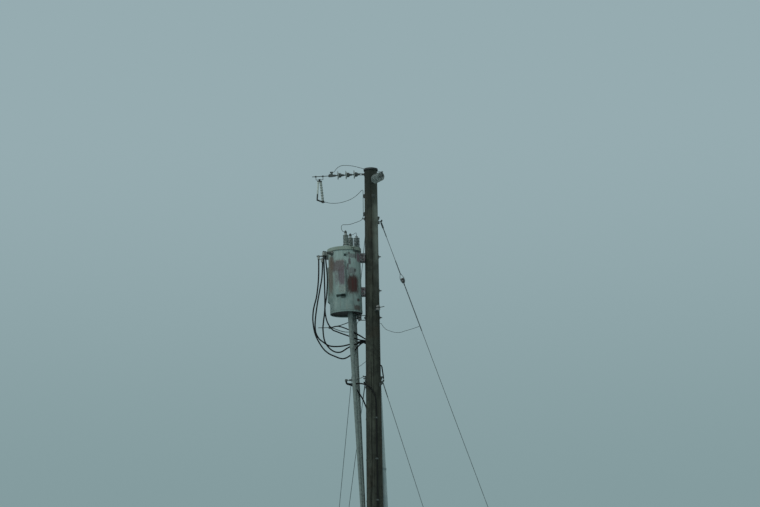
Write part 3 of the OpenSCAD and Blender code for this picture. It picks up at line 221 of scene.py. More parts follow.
# a round or stranded section is carried along the line without turning, apart from the strand's own lay
def sweptTube(line, radius, sides, wires=0, lay=1.0):
    tangent = np.gradient(line, axis=0)
    tangent /= np.linalg.norm(tangent, axis=1)[:, None]
    side = np.zeros_like(line)
    u = np.array([0.0, 0.0, 1.0]) if abs(tangent[0, 2]) < 0.8 else np.array([1.0, 0.0, 0.0])
    for n, t in enumerate(tangent):
        u = u - t * (u @ t)
        u /= np.linalg.norm(u)
        side[n] = u
    other = np.cross(tangent, side)
    share = strandSection(wires, max(4, sides // wires)) if wires else np.ones(sides)
    around = np.linspace(0, 2 * np.pi, len(share), endpoint=False)[None]
    phi = around + (2 * np.pi * runAlong(line) / lay)[:, None] * (wires > 0)
    across, up = radius * share * np.cos(phi), radius * share * np.sin(phi)
    rings = line[:, None] + across[..., None] * side[:, None] + up[..., None] * other[:, None]
    start, end = (np.repeat(line[k][None, None], len(share), axis=1) for k in (0, -1))
    return gridShape(np.concatenate([start, rings, end]))


def straight(frameAt, low, high, step, *section):  # a swept length along a frame's own Z axis
    ends = [(frameAt @ shift(z=z))[:3, 3] for z in (low, high)]
    return sweptTube(evenly(np.array(ends), step), *section)


def ribProfile(core, shed, start, pitch, count):  # sheds that slope down to a drip edge, one in each pitch
    shares = np.array([[0, 0.0], [1, 0.34], [1, 0.5], [0, 0.86]])
    at = start + pitch * (np.arange(count)[:, None] + shares[:, 1])
    return np.stack([np.where(shares[:, 0] > 0, shed, core) + 0 * at, at], -1).reshape(-1, 2)


# node trees: a colour is a link, or three display values from 0 to 255

def tone(r, g, b):  # display values as scene light
    c = np.array([r, g, b]) / 255
    return (*np.where(c <= 0.04045, c / 12.92, ((c + 0.055) / 1.055) ** 2.4), 1.0)


def plugged(tree, made, into):  # a socket is linked, and anything else becomes the input's own value
    for name, value in into.items():
        if isinstance(value, bpy.types.NodeSocket):
            tree.links.new(value, made.inputs[name])
        else:
            made.inputs[name].default_value = value
    return made.outputs


def node(tree, kind, into, **settings):
    made = tree.nodes.new("ShaderNode" + kind)
    for name, value in settings.items():
        setattr(made, name, value)
    return plugged(tree, made, into)


def mixed(tree, share, first, second):
    first, second = (tone(*c) if isinstance(c, tuple) and len(c) == 3 else c for c in (first, second))
    return node(tree, "Mix", {0: share, 6: first, 7: second}, data_type="RGBA")[2]


def reckoned(tree, operation, first, second=0.0, third=0.0):
    return node(tree, "Math", {0: first, 1: second, 2: third}, operation=operation)[0]


def vectors(tree, operation, first, second):
    return node(tree, "VectorMath", {0: first, 1: second}, operation=operation)[0]


def coated(tree, colour, mask, share, coat):  # the mask says where the coat lies, the share how dense it is
    return mixed(tree, reckoned(tree, "MULTIPLY", mask, share), colour, coat)


def spread(tree, value, low, high, first=0.0, second=1.0):
    into = {0: value, 1: low, 2: high, 3: first, 4: second}
    return node(tree, "MapRange", into, interpolation_type="SMOOTHSTEP")[0]


def noiseOf(tree, at, scale, detail=4.0, roughness=0.6):
    into = {"Vector": at, "Scale": scale, "Detail": detail, "Roughness": roughness}
    return node(tree, "TexNoise", into)[0]


def heightOf(tree, at):
    return node(tree, "SeparateXYZ", {0: at})[2]


def makeGroup(name, vectorLabels, numberLabels, outLabels, fill):
    tree = bpy.data.node_groups.new(name, "ShaderNodeTree")
    sockets = [("INPUT", "Vector", vectorLabels), ("INPUT", "Float", numberLabels)]
    sockets.append(("OUTPUT", "Float", outLabels))
    for way, kind, labels in sockets:
        for label in labels:
            tree.interface.new_socket(label, in_out=way, socket_type="NodeSocket" + kind)
    inner, outer = tree.nodes.new("NodeGroupInput"), tree.nodes.new("NodeGroupOutput")
    plugged(tree, outer, fill(tree, inner.outputs))
    return tree


def useGroup(tree, group, **into):
    made = tree.nodes.new("ShaderNodeGroup")
    made.node_tree = group
    return plugged(tree, made, into)


def fillStreaks(tree, given):  # noise drawn out along Z, so that its marks run down the surface
    scale = node(tree, "CombineXYZ", {0: given["Fineness"], 1: given["Fineness"], 2: given["Run"]})[0]
    noise = noiseOf(tree, vectors(tree, "MULTIPLY", given["Vector"], scale), 1.0)
    return {"Mask": spread(tree, noise, given["Low"], given["High"])}


def fillSpots(tree, given):  # ragged islands where two sizes of noise agree
    coarse = noiseOf(tree, given["Vector"], given["Size"], 3.0, 0.65)
    fine = noiseOf(tree, given["Vector"], reckoned(tree, "MULTIPLY", given["Size"], 5.3), 2.0)
    both = reckoned(tree, "MULTIPLY_ADD", fine, 0.35, coarse)
    edge = reckoned(tree, "SUBTRACT", 0.86, given["Cover"])
    return {"Mask": spread(tree, both, edge, reckoned(tree, "ADD", edge, 0.09))}


def fillPatch(tree, given):  # a soft, rather square patch round a centre, with a ragged rim
    off = vectors(tree, "SUBTRACT", given["Vector"], given["Centre"])
    share = vectors(tree, "DIVIDE", off, given["Extent"])
    square = vectors(tree, "MULTIPLY", share, share)
    far = reckoned(tree, "SQRT", node(tree, "VectorMath", {0: square}, operation="LENGTH")[1])
    noise = noiseOf(tree, vectors(tree, "MULTIPLY", given["Vector"], (1, 1, 0.3)), 44.0, 5.0, 0.7)
    rag = reckoned(tree, "MULTIPLY", reckoned(tree, "SUBTRACT", noise, 0.5), given["Ragged"])
    return {"Mask": spread(tree, reckoned(tree, "ADD", far, rag), 1.2, 0.62)}


def fillUpward(tree, given):  # how far a face looks up: a mask of faces that look up, and one for painted shade on faces that look down
    z = heightOf(tree, node(tree, "NewGeometry", {})["Normal"])
    return {"Above": spread(tree, z, 0.25, 0.9), "Below": spread(tree, z, -0.35, -0.9)}


streaks = makeGroup("weatherStreaks", ["Vector"], ["Fineness", "Run", "Low", "High"], ["Mask"], fillStreaks)
spots = makeGroup("rustSpots", ["Vector"], ["Size", "Cover"], ["Mask"], fillSpots)
patch = makeGroup("stainAndPaintedLightPatch", ["Vector", "Centre", "Extent"], ["Ragged"], ["Mask"], fillPatch)
upward = makeGroup("facing", [], [], ["Above", "Below"], fillUpward)


def streaksAt(tree, at, fineness, run, low, high):
    return useGroup(tree, streaks, Vector=at, Fineness=fineness, Run=run, Low=low, High=high)["Mask"]


def spotsAt(tree, at, size, cover):
    return useGroup(tree, spots, Vector=at, Size=size, Cover=cover)["Mask"]


def newMaterial(name):
    made = bpy.data.materials.new(name)
    made.use_nodes = True
    return made, made.node_tree, node(made.node_tree, "TexCoord", {})["Object"]


def shaderOf(tree):
    return next(n for n in tree.nodes if n.type == "BSDF_PRINCIPLED")


# fixed gives the shader's other inputs, with _ for each space in a name
def finished(made, colour, roughness, height, bump, depth, **fixed):
    tree = made.node_tree
    relief = node(tree, "Bump", {"Strength": bump, "Distance": depth, "Height": height})[0]
    into = {"Base Color": colour, "Roughness": roughness, "Normal": relief}
    plugged(tree, shaderOf(tree), into | {name.replace("_", " "): value for name, value in fixed.items()})
    return made


# weathered pine: brown-black fibre with a thin grey bloom, blotched where bark scars and creosote lie,
# pale on its right side below the strings, as painted light on that side and bleached fibre, and tarred at
# the top
def makeTimber():
    made, tree, at = newMaterial("poleTimberFinish")
    fibre = streaksAt(tree, at, 170.0, 3.0, 0.38, 0.66)
    colour = mixed(tree, streaksAt(tree, at, 9.0, 1.3, 0.36, 0.64), (29, 35, 30), (46, 53, 46))
    colour = coated(tree, colour, fibre, 0.4, (70, 75, 67))
    colour = coated(tree, colour, spotsAt(tree, at, 7.0, 0.2), 0.45, (23, 27, 24))
    colour = mixed(tree, spread(tree, noiseOf(tree, at, 1.6), 0.5, 0.68, 0.0, 0.35), colour, (52, 46, 36))
    part = node(tree, "SeparateXYZ", {0: at})
    # a pale, broken coat on the pole's right side, rising to full between the two heights given in timber:
    # painted light on that side, and bleached fibre
    right, low = spread(tree, part[0], 0.0, 0.09), spread(tree, part[2], *timber["litAndBleached"])
    broken = spread(tree, noiseOf(tree, at, 5.0), 0.3, 0.6, 0.35, 0.9)
    lit = reckoned(tree, "MULTIPLY", reckoned(tree, "MULTIPLY", right, low), broken)
    colour = mixed(tree, lit, colour, (91, 102, 94))
    ragged = reckoned(tree, "MULTIPLY_ADD", noiseOf(tree, at, 3.0), 0.3, part[2])
    colour = mixed(tree, spread(tree, ragged, *timber["tarred"], 0.0, 0.75), colour, (30, 37, 33))
    # painted shade in the drying checks, darker where they are deeper
    crack = node(tree, "Attribute", {}, attribute_name="crack")["Fac"]
    colour = mixed(tree, spread(tree, crack, 0.05, 0.6, 0.0, 0.8), colour, (14, 16, 14))
    grain = reckoned(tree, "MULTIPLY_ADD", fibre, 0.6, noiseOf(tree, at, 240.0, 2.0))
    return finished(made, colour, 0.9, grain, 0.5, 0.0014, Specular_IOR_Level=0.15)


# bare hardware: dull zinc with a spangle, brown where it has rusted, with painted shade on faces that look
# down
def makeMetal(name, pale, dark, rust, cover, metal=0.35, rough=0.55):
    made, tree, at = newMaterial(name)
    spangle = node(tree, "TexVoronoi", {"Vector": at, "Scale": 130.0})["Color"]
    grey = node(tree, "SeparateColor", {0: spangle})[0]
    colour = mixed(tree, spread(tree, grey, 0.1, 0.9, 0.3, 0.75), dark, pale)
    colour = coated(tree, colour, streaksAt(tree, at, 60.0, 6.0, 0.5, 0.75), 0.45, rust)
    worn = spotsAt(tree, at, 34.0, cover)
    colour = mixed(tree, worn, colour, rust)
    # painted shade on faces that look down
    colour = coated(tree, colour, useGroup(tree, upward)["Below"], 0.5, (20, 22, 19))
    roughness = spread(tree, worn, 0.0, 1.0, rough, 0.92)
    return finished(made, colour, roughness, noiseOf(tree, at, 420.0, 2.0), 0.2, 0.0004, Metallic=metal)


# glazed porcelain: a skin of grime that thins on the drip edges, with painted shade on faces that look down
# and a wet-looking coat
def makeGlaze(name, pale, dark, sootAndShade):
    made, tree, at = newMaterial(name)
    film = noiseOf(tree, at, 22.0, 5.0)
    colour = mixed(tree, spread(tree, film, 0.35, 0.7), pale, dark)
    # painted shade under the sheds and on every face that looks down, in the soot colour
    colour = coated(tree, colour, useGroup(tree, upward)["Below"], 0.55, sootAndShade)
    colour = coated(tree, colour, spotsAt(tree, at, 90.0, 0.07), 0.5, sootAndShade)
    relief = noiseOf(tree, at, 60.0, 3.0)
    return finished(made, colour, spread(tree, film, 0.3, 0.7, 0.18, 0.42), relief, 0.12, 0.0005,
                    Coat_Weight=0.35, Coat_Roughness=0.2)


# black or grey jacket: dull, greyed by sun, with a faint bloom on top
def makeJacket(name, base, bloom):
    made, tree, at = newMaterial(name)
    colour = mixed(tree, spread(tree, noiseOf(tree, at, 14.0), 0.4, 0.75, 0.0, 0.6), base, bloom)
    colour = coated(tree, colour, useGroup(tree, upward)["Above"], 0.3, bloom)
    return finished(made, colour, 0.75, noiseOf(tree, at, 300.0, 2.0), 0.12, 0.0004, Specular_IOR_Level=0.2)


# plain weathered surface of two tones: plastic, fibre or strand, with painted shade on faces that look down
def makeFaded(name, base, worn, grimeAndShade, rough=0.6, metal=0.0):
    made, tree, at = newMaterial(name)
    colour = mixed(tree, spread(tree, noiseOf(tree, at, 5.0), 0.35, 0.7), base, worn)
    colour = coated(tree, colour, streaksAt(tree, at, 40.0, 2.0, 0.5, 0.72), 0.55, grimeAndShade)
    # painted shade on faces that look down, in the grime colour
    colour = coated(tree, colour, useGroup(tree, upward)["Below"], 0.4, grimeAndShade)
    return finished(made, colour, rough, noiseOf(tree, at, 180.0, 3.0), 0.15, 0.0005, Metallic=metal)


# fuse tube: bleached fibre above, scorched and painted dark below this height
fuse = {"dark": (9.885, 9.905)}


def makeFuse():
    made, tree, at = newMaterial("fuseFinish")
    ragged = reckoned(tree, "MULTIPLY_ADD", noiseOf(tree, at, 60.0), 0.02, heightOf(tree, at))
    colour = mixed(tree, spread(tree, ragged, *fuse["dark"]), (40, 50, 47), (142, 156, 148))
    colour = mixed(tree, spread(tree, noiseOf(tree, at, 30.0), 0.45, 0.75, 0.0, 0.5), colour, (84, 90, 84))
    return finished(made, colour, 0.75, noiseOf(tree, at, 180.0, 3.0), 0.15, 0.0005)


tankPlace = {"off": 0.455919, "top": 8.882, "height": 1.082, "lean": 1.5, "radius": 0.273}


def tankFrame():
    half, lean = tankPlace["height"] / 2, turn("Y", -tankPlace["lean"])
    return shift(-tankPlace["off"], 0, tankPlace["top"] - half) @ lean @ shift(z=-half)


# stains of the tank, and patches of painted shade and highlight round its front pocket and under its lid:
# centre and extent in the tank's own frame, colour, share and raggedness
tankStainsAndPaintedLight = [
    ((-0.104, -0.25, 0.78), (0.126, 0.20, 0.115), (83, 82, 83), 0.9, 1.7),
    ((-0.052, -0.28, 0.60), (0.058, 0.20, 0.170), (84, 81, 86), 0.9, 1.0),
    ((-0.098, -0.27, 0.62), (0.011, 0.20, 0.100), (66, 66, 70), 0.7, 0.8),
    ((-0.142, -0.26, 0.58), (0.036, 0.20, 0.140), (98, 108, 108), 0.7, 1.2),
    ((-0.050, -0.30, 0.38), (0.060, 0.20, 0.070), (108, 124, 119), 0.85, 0.8),
    # painted highlight: the bright rim on the right of the pocket's foot
    ((-0.004, -0.29, 0.37), (0.016, 0.20, 0.050), (126, 140, 134), 0.6, 0.8),
    # painted shadow on the wall under the pocket's foot
    ((-0.034, -0.27, 0.262), (0.046, 0.20, 0.038), (44, 62, 60), 0.8, 0.6),
    # painted shade on the wall along the pocket's right side
    ((0.031, -0.27, 0.54), (0.013, 0.20, 0.240), (70, 84, 84), 0.6, 0.8),
    ((0.088, -0.26, 0.86), (0.022, 0.20, 0.055), (72, 70, 74), 0.8, 1.2),
    ((0.058, -0.27, 0.77), (0.018, 0.20, 0.055), (76, 76, 80), 0.75, 1.2),
    ((0.112, -0.24, 0.70), (0.080, 0.20, 0.060), (84, 88, 90), 0.6, 1.6),
    ((0.128, -0.22, 0.47), (0.098, 0.20, 0.172), (54, 45, 42), 0.97, 1.1),
    ((0.130, -0.24, 0.46), (0.020, 0.20, 0.130), (64, 38, 36), 0.8, 1.0),
    ((0.178, -0.20, 0.47), (0.018, 0.20, 0.120), (62, 40, 39), 0.8, 0.7),
    ((0.174, -0.21, 0.71), (0.013, 0.20, 0.030), (46, 50, 50), 0.9, 0.8),
    ((0.212, -0.15, 0.205), (0.024, 0.10, 0.026), (52, 50, 48), 0.9, 1.0),
    ((0.190, -0.18, 0.070), (0.058, 0.12, 0.045), (62, 56, 52), 0.75, 1.8),
    ((0.228, -0.13, 0.96), (0.024, 0.10, 0.085), (72, 72, 74), 0.8, 1.0),
    ((0.140, -0.22, 0.96), (0.080, 0.12, 0.040), (82, 84, 86), 0.6, 1.8),
    # painted shadow under the lid's rim on the right
    ((0.205, -0.17, 1.045), (0.060, 0.14, 0.018), (42, 50, 48), 0.85, 0.8),
    ((0.190, -0.19, 0.98), (0.009, 0.12, 0.070), (48, 50, 50), 0.8, 0.8),
    ((0.240, -0.12, 0.94), (0.028, 0.14, 0.075), (98, 88, 94), 0.8, 1.0),
    ((0.085, -0.26, 1.005), (0.020, 0.10, 0.020), (62, 70, 70), 0.7, 1.0),
    ((-0.240, -0.10, 0.66), (0.042, 0.20, 0.340), (84, 83, 74), 0.8, 0.9),
    ((-0.210, -0.16, 0.86), (0.035, 0.14, 0.130), (84, 76, 68), 0.7, 1.2),
    ((-0.06, 0.26, 0.50), (0.14, 0.12, 0.30), (84, 76, 72), 0.65, 1.7),
    ((0.16, 0.21, 0.70), (0.08, 0.14, 0.26), (72, 58, 52), 0.75, 1.7),
    ((-0.20, 0.17, 0.30), (0.09, 0.14, 0.18), (92, 86, 78), 0.6, 1.7)]
bandStains = tankStainsAndPaintedLight[17:19]


# chalked grey-green enamel that has run, stained and rusted, with some patches of painted shade and
# highlight and painted shade on faces that look down, drawn in the tank's own frame
def makeTankPaint(name, upper, lower, stainsAndPaintedLight):
    made, tree, world = newMaterial(name)
    lean, origin = (0, -np.radians(tankPlace["lean"]), 0), tuple(tankFrame()[:3, 3])
    into = {"Vector": world, "Location": origin, "Rotation": lean}
    at = node(tree, "Mapping", into, vector_type="TEXTURE")[0]
    colour = mixed(tree, spread(tree, heightOf(tree, at), 0.0, 1.0), lower, upper)
    chalk = spread(tree, noiseOf(tree, at, 9.0, 5.0), 0.42, 0.72, 0.0, 0.4)
    colour = mixed(tree, chalk, colour, (126, 144, 138))
    colour = coated(tree, colour, streaksAt(tree, at, 26.0, 1.6, 0.5, 0.74), 0.45, (74, 84, 80))
    colour = coated(tree, colour, streaksAt(tree, at, 64.0, 2.6, 0.56, 0.72), 0.35, (96, 82, 72))
    patched = 0.0
    for centre, extent, patchColour, share, ragged in stainsAndPaintedLight:
        mask = useGroup(tree, patch, Vector=at, Centre=centre, Extent=extent, Ragged=ragged)["Mask"]
        mask = reckoned(tree, "MULTIPLY", mask, share)
        colour = mixed(tree, mask, colour, patchColour)
        patched = reckoned(tree, "MAXIMUM", mask, patched)
    inPatch = reckoned(tree, "MULTIPLY", spotsAt(tree, at, 42.0, 0.24), patched)
    colour = coated(tree, colour, spotsAt(tree, at, 20.0, 0.07), 0.5, (74, 68, 62))
    colour = coated(tree, colour, inPatch, 0.35, (58, 46, 42))
    facing = useGroup(tree, upward)
    colour = coated(tree, colour, facing["Above"], 0.35, (112, 122, 108))
    # painted shade: faces that look down turn nearly black
    colour = mixed(tree, facing["Below"], colour, (4, 8, 4))
    relief = reckoned(tree, "MULTIPLY_ADD", inPatch, 0.8, noiseOf(tree, at, 70.0, 4.0))
    roughness = spread(tree, patched, 0.0, 1.0, 0.7, 0.95)
    return finished(made, colour, roughness, relief, 0.3, 0.0012, Specular_IOR_Level=0.12)


# finishes by slot, then those that a node or piece has for itself
finishes = {
    "pole_wood": makeTimber(),
    "cap_plastic": makeFaded("capFinish", (24, 34, 33), (36, 46, 44), (14, 18, 17), 0.7),
    "galvanised": makeMetal("zincFinish", (72, 82, 79), (46, 54, 51), (50, 44, 38), 0.1),
    "grey_porcelain": makeGlaze("paleGlaze", (124, 138, 135), (88, 101, 98), (28, 34, 32)),
    "dark_porcelain": makeGlaze("darkGlaze", (86, 101, 98), (60, 71, 69), (30, 34, 32)),
    "line_aluminium": makeFaded("wireFinish", (84, 95, 94), (64, 74, 73), (44, 50, 49), 0.6, 0.25),
    "cutout_metal": makeMetal("cutoutFinish", (34, 42, 40), (22, 28, 26), (38, 34, 28), 0.1),
    "fuse_fibre": makeFaded("fibreFinish", (166, 172, 160), (132, 140, 130), (84, 90, 82), 0.75),
    "tank_paint": makeTankPaint("tankEnamel", (115, 137, 133), (91, 112, 109), tankStainsAndPaintedLight),
    "band_paint": makeTankPaint("bandEnamel", (104, 121, 112), (96, 110, 102), bandStains),
    "cable_black": makeJacket("blackJacket", (7, 11, 10), (18, 23, 22)),
    "cable_grey": makeJacket("greyJacket", (44, 52, 50), (64, 72, 70)),
    "riser_plastic": makeFaded("conduitFinish", (118, 140, 141), (128, 148, 148), (88, 100, 98), 0.7),
    "neutral_spools": makeGlaze("spoolGlaze", (112, 116, 112), (70, 75, 72), (20, 24, 22)),
    "low_bushings": makeGlaze("lowGlaze", (62, 72, 66), (42, 49, 45), (26, 28, 26)),
    "high_bushings": makeGlaze("bushingGlaze", (92, 107, 102), (68, 80, 77), (48, 58, 56)),
    "arrester": makeGlaze("arresterGlaze", (106, 122, 121), (88, 102, 101), (56, 66, 65)),
    "connector": makeMetal("connectorFinish", (116, 126, 120), (92, 101, 96), (60, 64, 60), 0.08, 0.15),
    "guy_insulators": makeGlaze("strainGlaze", (30, 35, 32), (20, 24, 21), (12, 14, 12)),
    "cutout_insulator": makeGlaze("cutoutGlaze", (112, 127, 121), (90, 103, 98), (62, 73, 69)),
    "tank_hangers": makeMetal("hangerFinish", (104, 116, 115), (82, 91, 90), (84, 74, 78), 0.26, 0.1, 0.75),
    "guy_bails": makeFaded("bailFinish", (38, 48, 47), (28, 36, 35), (20, 25, 24), 0.6, 0.2),
    "guy_strands": makeFaded("guyFinish", (82, 97, 97), (68, 81, 81), (52, 61, 60), 0.65, 0.15),
    "riser_brackets": makeMetal("bracketFinish", (122, 141, 142), (104, 120, 121), (84, 92, 92), 0.06),
    "fuse_tube": makeFuse(),
}
print("finishes made,", len(finishes))


# pieces: each mesh is made in code, welded, and smooth across every edge flatter than its sharp angle

def buildPiece(name, shapes, slotName, replaced="", finish="", bevel=0.0, sharp=38, values=None):
    points, triangles = joined([welded(s) for s in shapes])
    mesh = bpy.data.meshes.new(name)
    mesh.vertices.add(len(points))
    mesh.vertices.foreach_set("co", points.astype(np.float32).ravel())
    mesh.loops.add(triangles.size)
    mesh.loops.foreach_set("vertex_index", triangles.astype(np.int32).ravel())
    mesh.polygons.add(len(triangles))
    mesh.polygons.foreach_set("loop_start", np.arange(0, triangles.size, 3, dtype=np.int32))
    mesh.update(calc_edges=True)
    mesh.validate()
    mesh.shade_smooth()
    mesh.set_sharp_from_angle(angle=np.radians(sharp))
    if values is not None:
        mesh.attributes.new("crack", "FLOAT", "POINT").data.foreach_set("value", values.astype(np.float32))
    mesh.materials.append(finishes[finish or (replaced if replaced in finishes else slotName)])
    piece = added(name, mesh)
    if bevel:
        edge = piece.modifiers.new("edge", "BEVEL")
        edge.width, edge.segments, edge.limit_method, edge.angle_limit = bevel, 2, "ANGLE", np.radians(40)
    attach(piece, poleBody)
    if replaced:
        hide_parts(replaced)
    return piece


# cords first: node, slot, diameter, stiffness, and route in millimetres from the centre of the pole's top

cordRoutes = {
    "primaryJumper": ("primary_jumper", "line_aluminium", 0.009, "stiff", [
        [-780.6, -78, -586.3], [-766, -76, -589], [-700, -72, -604], [-600, -68, -606], [-520, -60, -594],
        [-440, -50, -570], [-350, -36, -532], [-270, -26, -480], [-205, -16, -418], [-158, -6, -366],
        [-137, 0, -372], [-136, 0, -420], [-136, 0, -520], [-136, 0, -640], [-136, 0, -770],
        [-140, -2, -835], [-162, -10, -884], [-210, -24, -918], [-288, -40, -950], [-365, -56, -978],
        [-430, -75, -988], [-485, -92, -992.8], [-507.6, -104, -1018.4], [-511.2, -110, -1059.5],
        [-498.8, -110, -1096.4], [-482, -110, -1116.5], [-463.7, -110, -1121.5]]),
    "topJumper": ("top_jumper", "line_aluminium", 0.009, "stiff", [
        [-647.8, -64.7, -55.4], [-630, -62, -50], [-612, -56, -26], [-592, -44, 6], [-556, -20, 46],
        [-500, 20, 84], [-415, 60, 98], [-320, 95, 98], [-230, 122, 84], [-140, 146, 64], [-40, 158, 40],
        [60, 152, 20], [130, 118, 0], [174, 34, -30], [188, -80, -70], [190, -200, -106],
        [190, -330, -138], [188, -440, -166], [185, -530, -186], [181, -582, -210], [179.8, -606, -221.6],
        [185.4, -625.9, -225.1]]),
    "arresterJumper": ("arrester_jumper", "line_aluminium", 0.007, "medium", [
        [-340.6, 112, -1119.5], [-325, 118, -1117], [-300.8, 146, -1098], [-275, 200, -1066],
        [-261.5, 242.5, -1070.6], [-258.5, 251.1, -1096.6]]),
    "leadOne": ("lead_1", "cable_black", 0.024, "stiff", [
        [-904, 0, -1552.1], [-903.5, 1, -1654.3], [-906, 4, -1834], [-918, 8, -2014.5],
        [-945, 10, -2220.3], [-980, 14, -2357.1], [-1003, 17, -2480], [-1007, 20, -2649],
        [-966, 23, -2872], [-858, 26, -3078], [-760, 28, -3180], [-658, 30, -3234], [-507, 32, -3282],
        [-372, 30, -3220], [-290, 28, -3120], [-220, 30, -3046], [-176, 56, -3012], [-158, 116, -2996],
        [-110, 174, -3006], [-40, 204, -3040], [14, 212, -3100], [26, 213, -3190], [28, 213, -3330]]),
    "leadTwo": ("lead_2", "cable_black", 0.024, "stiff", [
        [-845.6, 218, -1551], [-847, 218, -1654.2], [-858.9, 209.7, -1847.9], [-885.6, 195.1, -2013.4],
        [-935.4, 175.8, -2294.3], [-973.3, 162.6, -2590.1], [-969.8, 150.7, -2783], [-920, 142, -2900],
        [-860, 134, -2960], [-725, 120, -3046], [-523, 104, -3054], [-320, 90, -3009], [-230, 92, -2986],
        [-180, 116, -2972], [-140, 160, -2968], [-70, 206, -2984], [14, 230, -3020], [56, 230, -3090],
        [62, 229, -3190], [64, 229, -3330]]),
    "leadThree": ("lead_3", "cable_black", 0.024, "stiff", [
        [-806.4, -305.4, -1550.1], [-806, -303.4, -1654.1], [-802, -281.7, -1853.9],
        [-799.3, -240.2, -2056.4], [-799, -167.8, -2446.2], [-825.7, -133.5, -2681.1],
        [-834.7, -110.9, -2814], [-803, -100, -3015], [-688, -80, -3157], [-554, -60, -3188],
        [-420, -44, -3111], [-300, -24, -3052], [-200, 0, -3020], [-152, 40, -3004], [-134, 90, -3000],
        [-96, 140, -3010], [-44, 164, -3046], [14, 174, -3106], [30, 174, -3190], [32, 173, -3330]]),
    "leadFour": ("lead_4", "cable_black", 0.022, "stiff", [
        [-776.9, -278.4, -1548.8], [-773.4, -277.4, -1664.1], [-751, -263.7, -1962.9],
        [-766.3, -238.2, -2256.4], [-796, -213.8, -2473.2], [-765.7, -169.5, -2674.1],
        [-684.7, -90.9, -2798], [-600, -76, -2840], [-518, -66, -2872], [-400, -52, -2914],
        [-318, -42, -2947], [-220, -16, -2975], [-160, 20, -2976], [-132, 76, -2970], [-92, 124, -2972],
        [-30, 156, -2990], [36, 160, -3030], [64, 164, -3100], [69, 165, -3190], [71, 165, -3330]]),
    "leadFive": ("lead_5", "cable_black", 0.020, "medium", [
        [-702.4, -20, -2754], [-680, -21, -2752], [-619, -26, -2739], [-551, -28, -2743],
        [-451, -24, -2778], [-350, -16, -2824], [-250, -4, -2876], [-183, 24, -2914], [-150, 70, -2930],
        [-112, 120, -2940], [-50, 162, -2946], [30, 190, -2972], [80, 200, -3040], [89, 200, -3120],
        [90, 200, -3210], [92, 200, -3330]]),
    "leadSix": ("lead_6", "cable_grey", 0.012, "medium", [
        [-702.4, 17, -2754], [-660, 18, -2764], [-552, 20, -2806], [-470, 22, -2826], [-384, 24, -2834],
        [-283, 30, -2866], [-200, 60, -2906], [-160, 110, -2922], [-110, 158, -2934], [-40, 196, -2964],
        [30, 198, -3026], [52, 197, -3110], [55, 197, -3210], [57, 197, -3330]]),
    "serviceTailOne": ("service_tail_1", "cable_black", 0.024, "medium", [
        [-452, -75.6, -3681], [-451, -76, -3700], [-436, -78, -3722], [-392, -82, -3730],
        [-340, -90, -3732], [-292, -98, -3730], [-230, -112, -3730], [-168, -132, -3742],
        [-100, -152, -3774], [-44, -156, -3822], [6, -150, -3900], [34.5, -147, -4000],
        [43.6, -137.4, -4120], [43.8, -134.7, -4199.4]]),
    "serviceTailTwo": ("service_tail_2", "cable_black", 0.024, "medium", [
        [-456, -36, -3681], [-455, -36, -3700], [-440, -34, -3724], [-392, -28, -3738], [-340, -16, -3760],
        [-294, 0, -3806], [-240, 22, -3876], [-190, 44, -3958], [-150, 62, -4046], [-122, 77, -4120],
        [-120.1, 75.1, -4199.6]]),
    "bondWireRight": ("bond_wire_right", "line_aluminium", 0.008, "stiff", [
        [122.8, 6, -2690], [141.1, 8, -2693], [160.4, 12, -2720], [190.8, 17.1, -2762],
        [231.5, 26.2, -2796], [292.3, 33.3, -2820], [353.4, 42.4, -2838], [412.6, 50.5, -2844],
        [476, 60.7, -2838], [534.6, 67.9, -2818], [646.5, 82.1, -2784], [716.4, 90.3, -2760],
        [788.6, 96.2, -2733.4]]),
    "bondWireBack": ("bond_wire_back", "line_aluminium", 0.008, "stiff", [
        [-80.9, 96, -3300], [-102.2, 122, -3304], [-150.7, 220, -3322], [-216.5, 400, -3340],
        [-272.7, 600, -3336], [-316.2, 800, -3304], [-343.6, 944.5, -3268], [-356.8, 1014.6, -3245]]),
}
# a wire and a cable each have their step, sides, wires and lay
cordMake = {"curveSteps": 12, "wire": (0.006, 28, 7, 0.09), "cable": (0.012, 20, 0, 1.0)}


def buildCord(name, nodeName, slotName, diameter, stiffness, points):
    route = np.array(points, float) / 1000 + [0, 0, timber["height"]]
    step, *section = cordMake["wire" if slotName == "line_aluminium" else "cable"]
    line = evenly(smoothRoute(route, cordMake["curveSteps"]), step)
    piece = buildPiece(name, [sweptTube(line, diameter / 2, *section)], slotName, nodeName, sharp=60)


for cordName, cordFacts in cordRoutes.items():
    buildCord(cordName, *cordFacts)
print("cords made,", len(cordRoutes))


# pole: a tapered round with shallow flutes and deep drying checks, whose depth is also painted into them as
# shade

poleShape = {"rows": 540, "columns": 170, "flute": 0.0007,
             "flutes": ((3, 0.4, 0.9), (7, 2.1, 1.3), (13, 4.0, 0.7)),
             "checks": 54, "seed": 11, "middle": (0.2, 10.2), "half": (0.25, 1.5), "waves": (2, 6),
             "width": (0.026, 0.045), "depth": (0.006, 0.019), "darkest": 0.012}


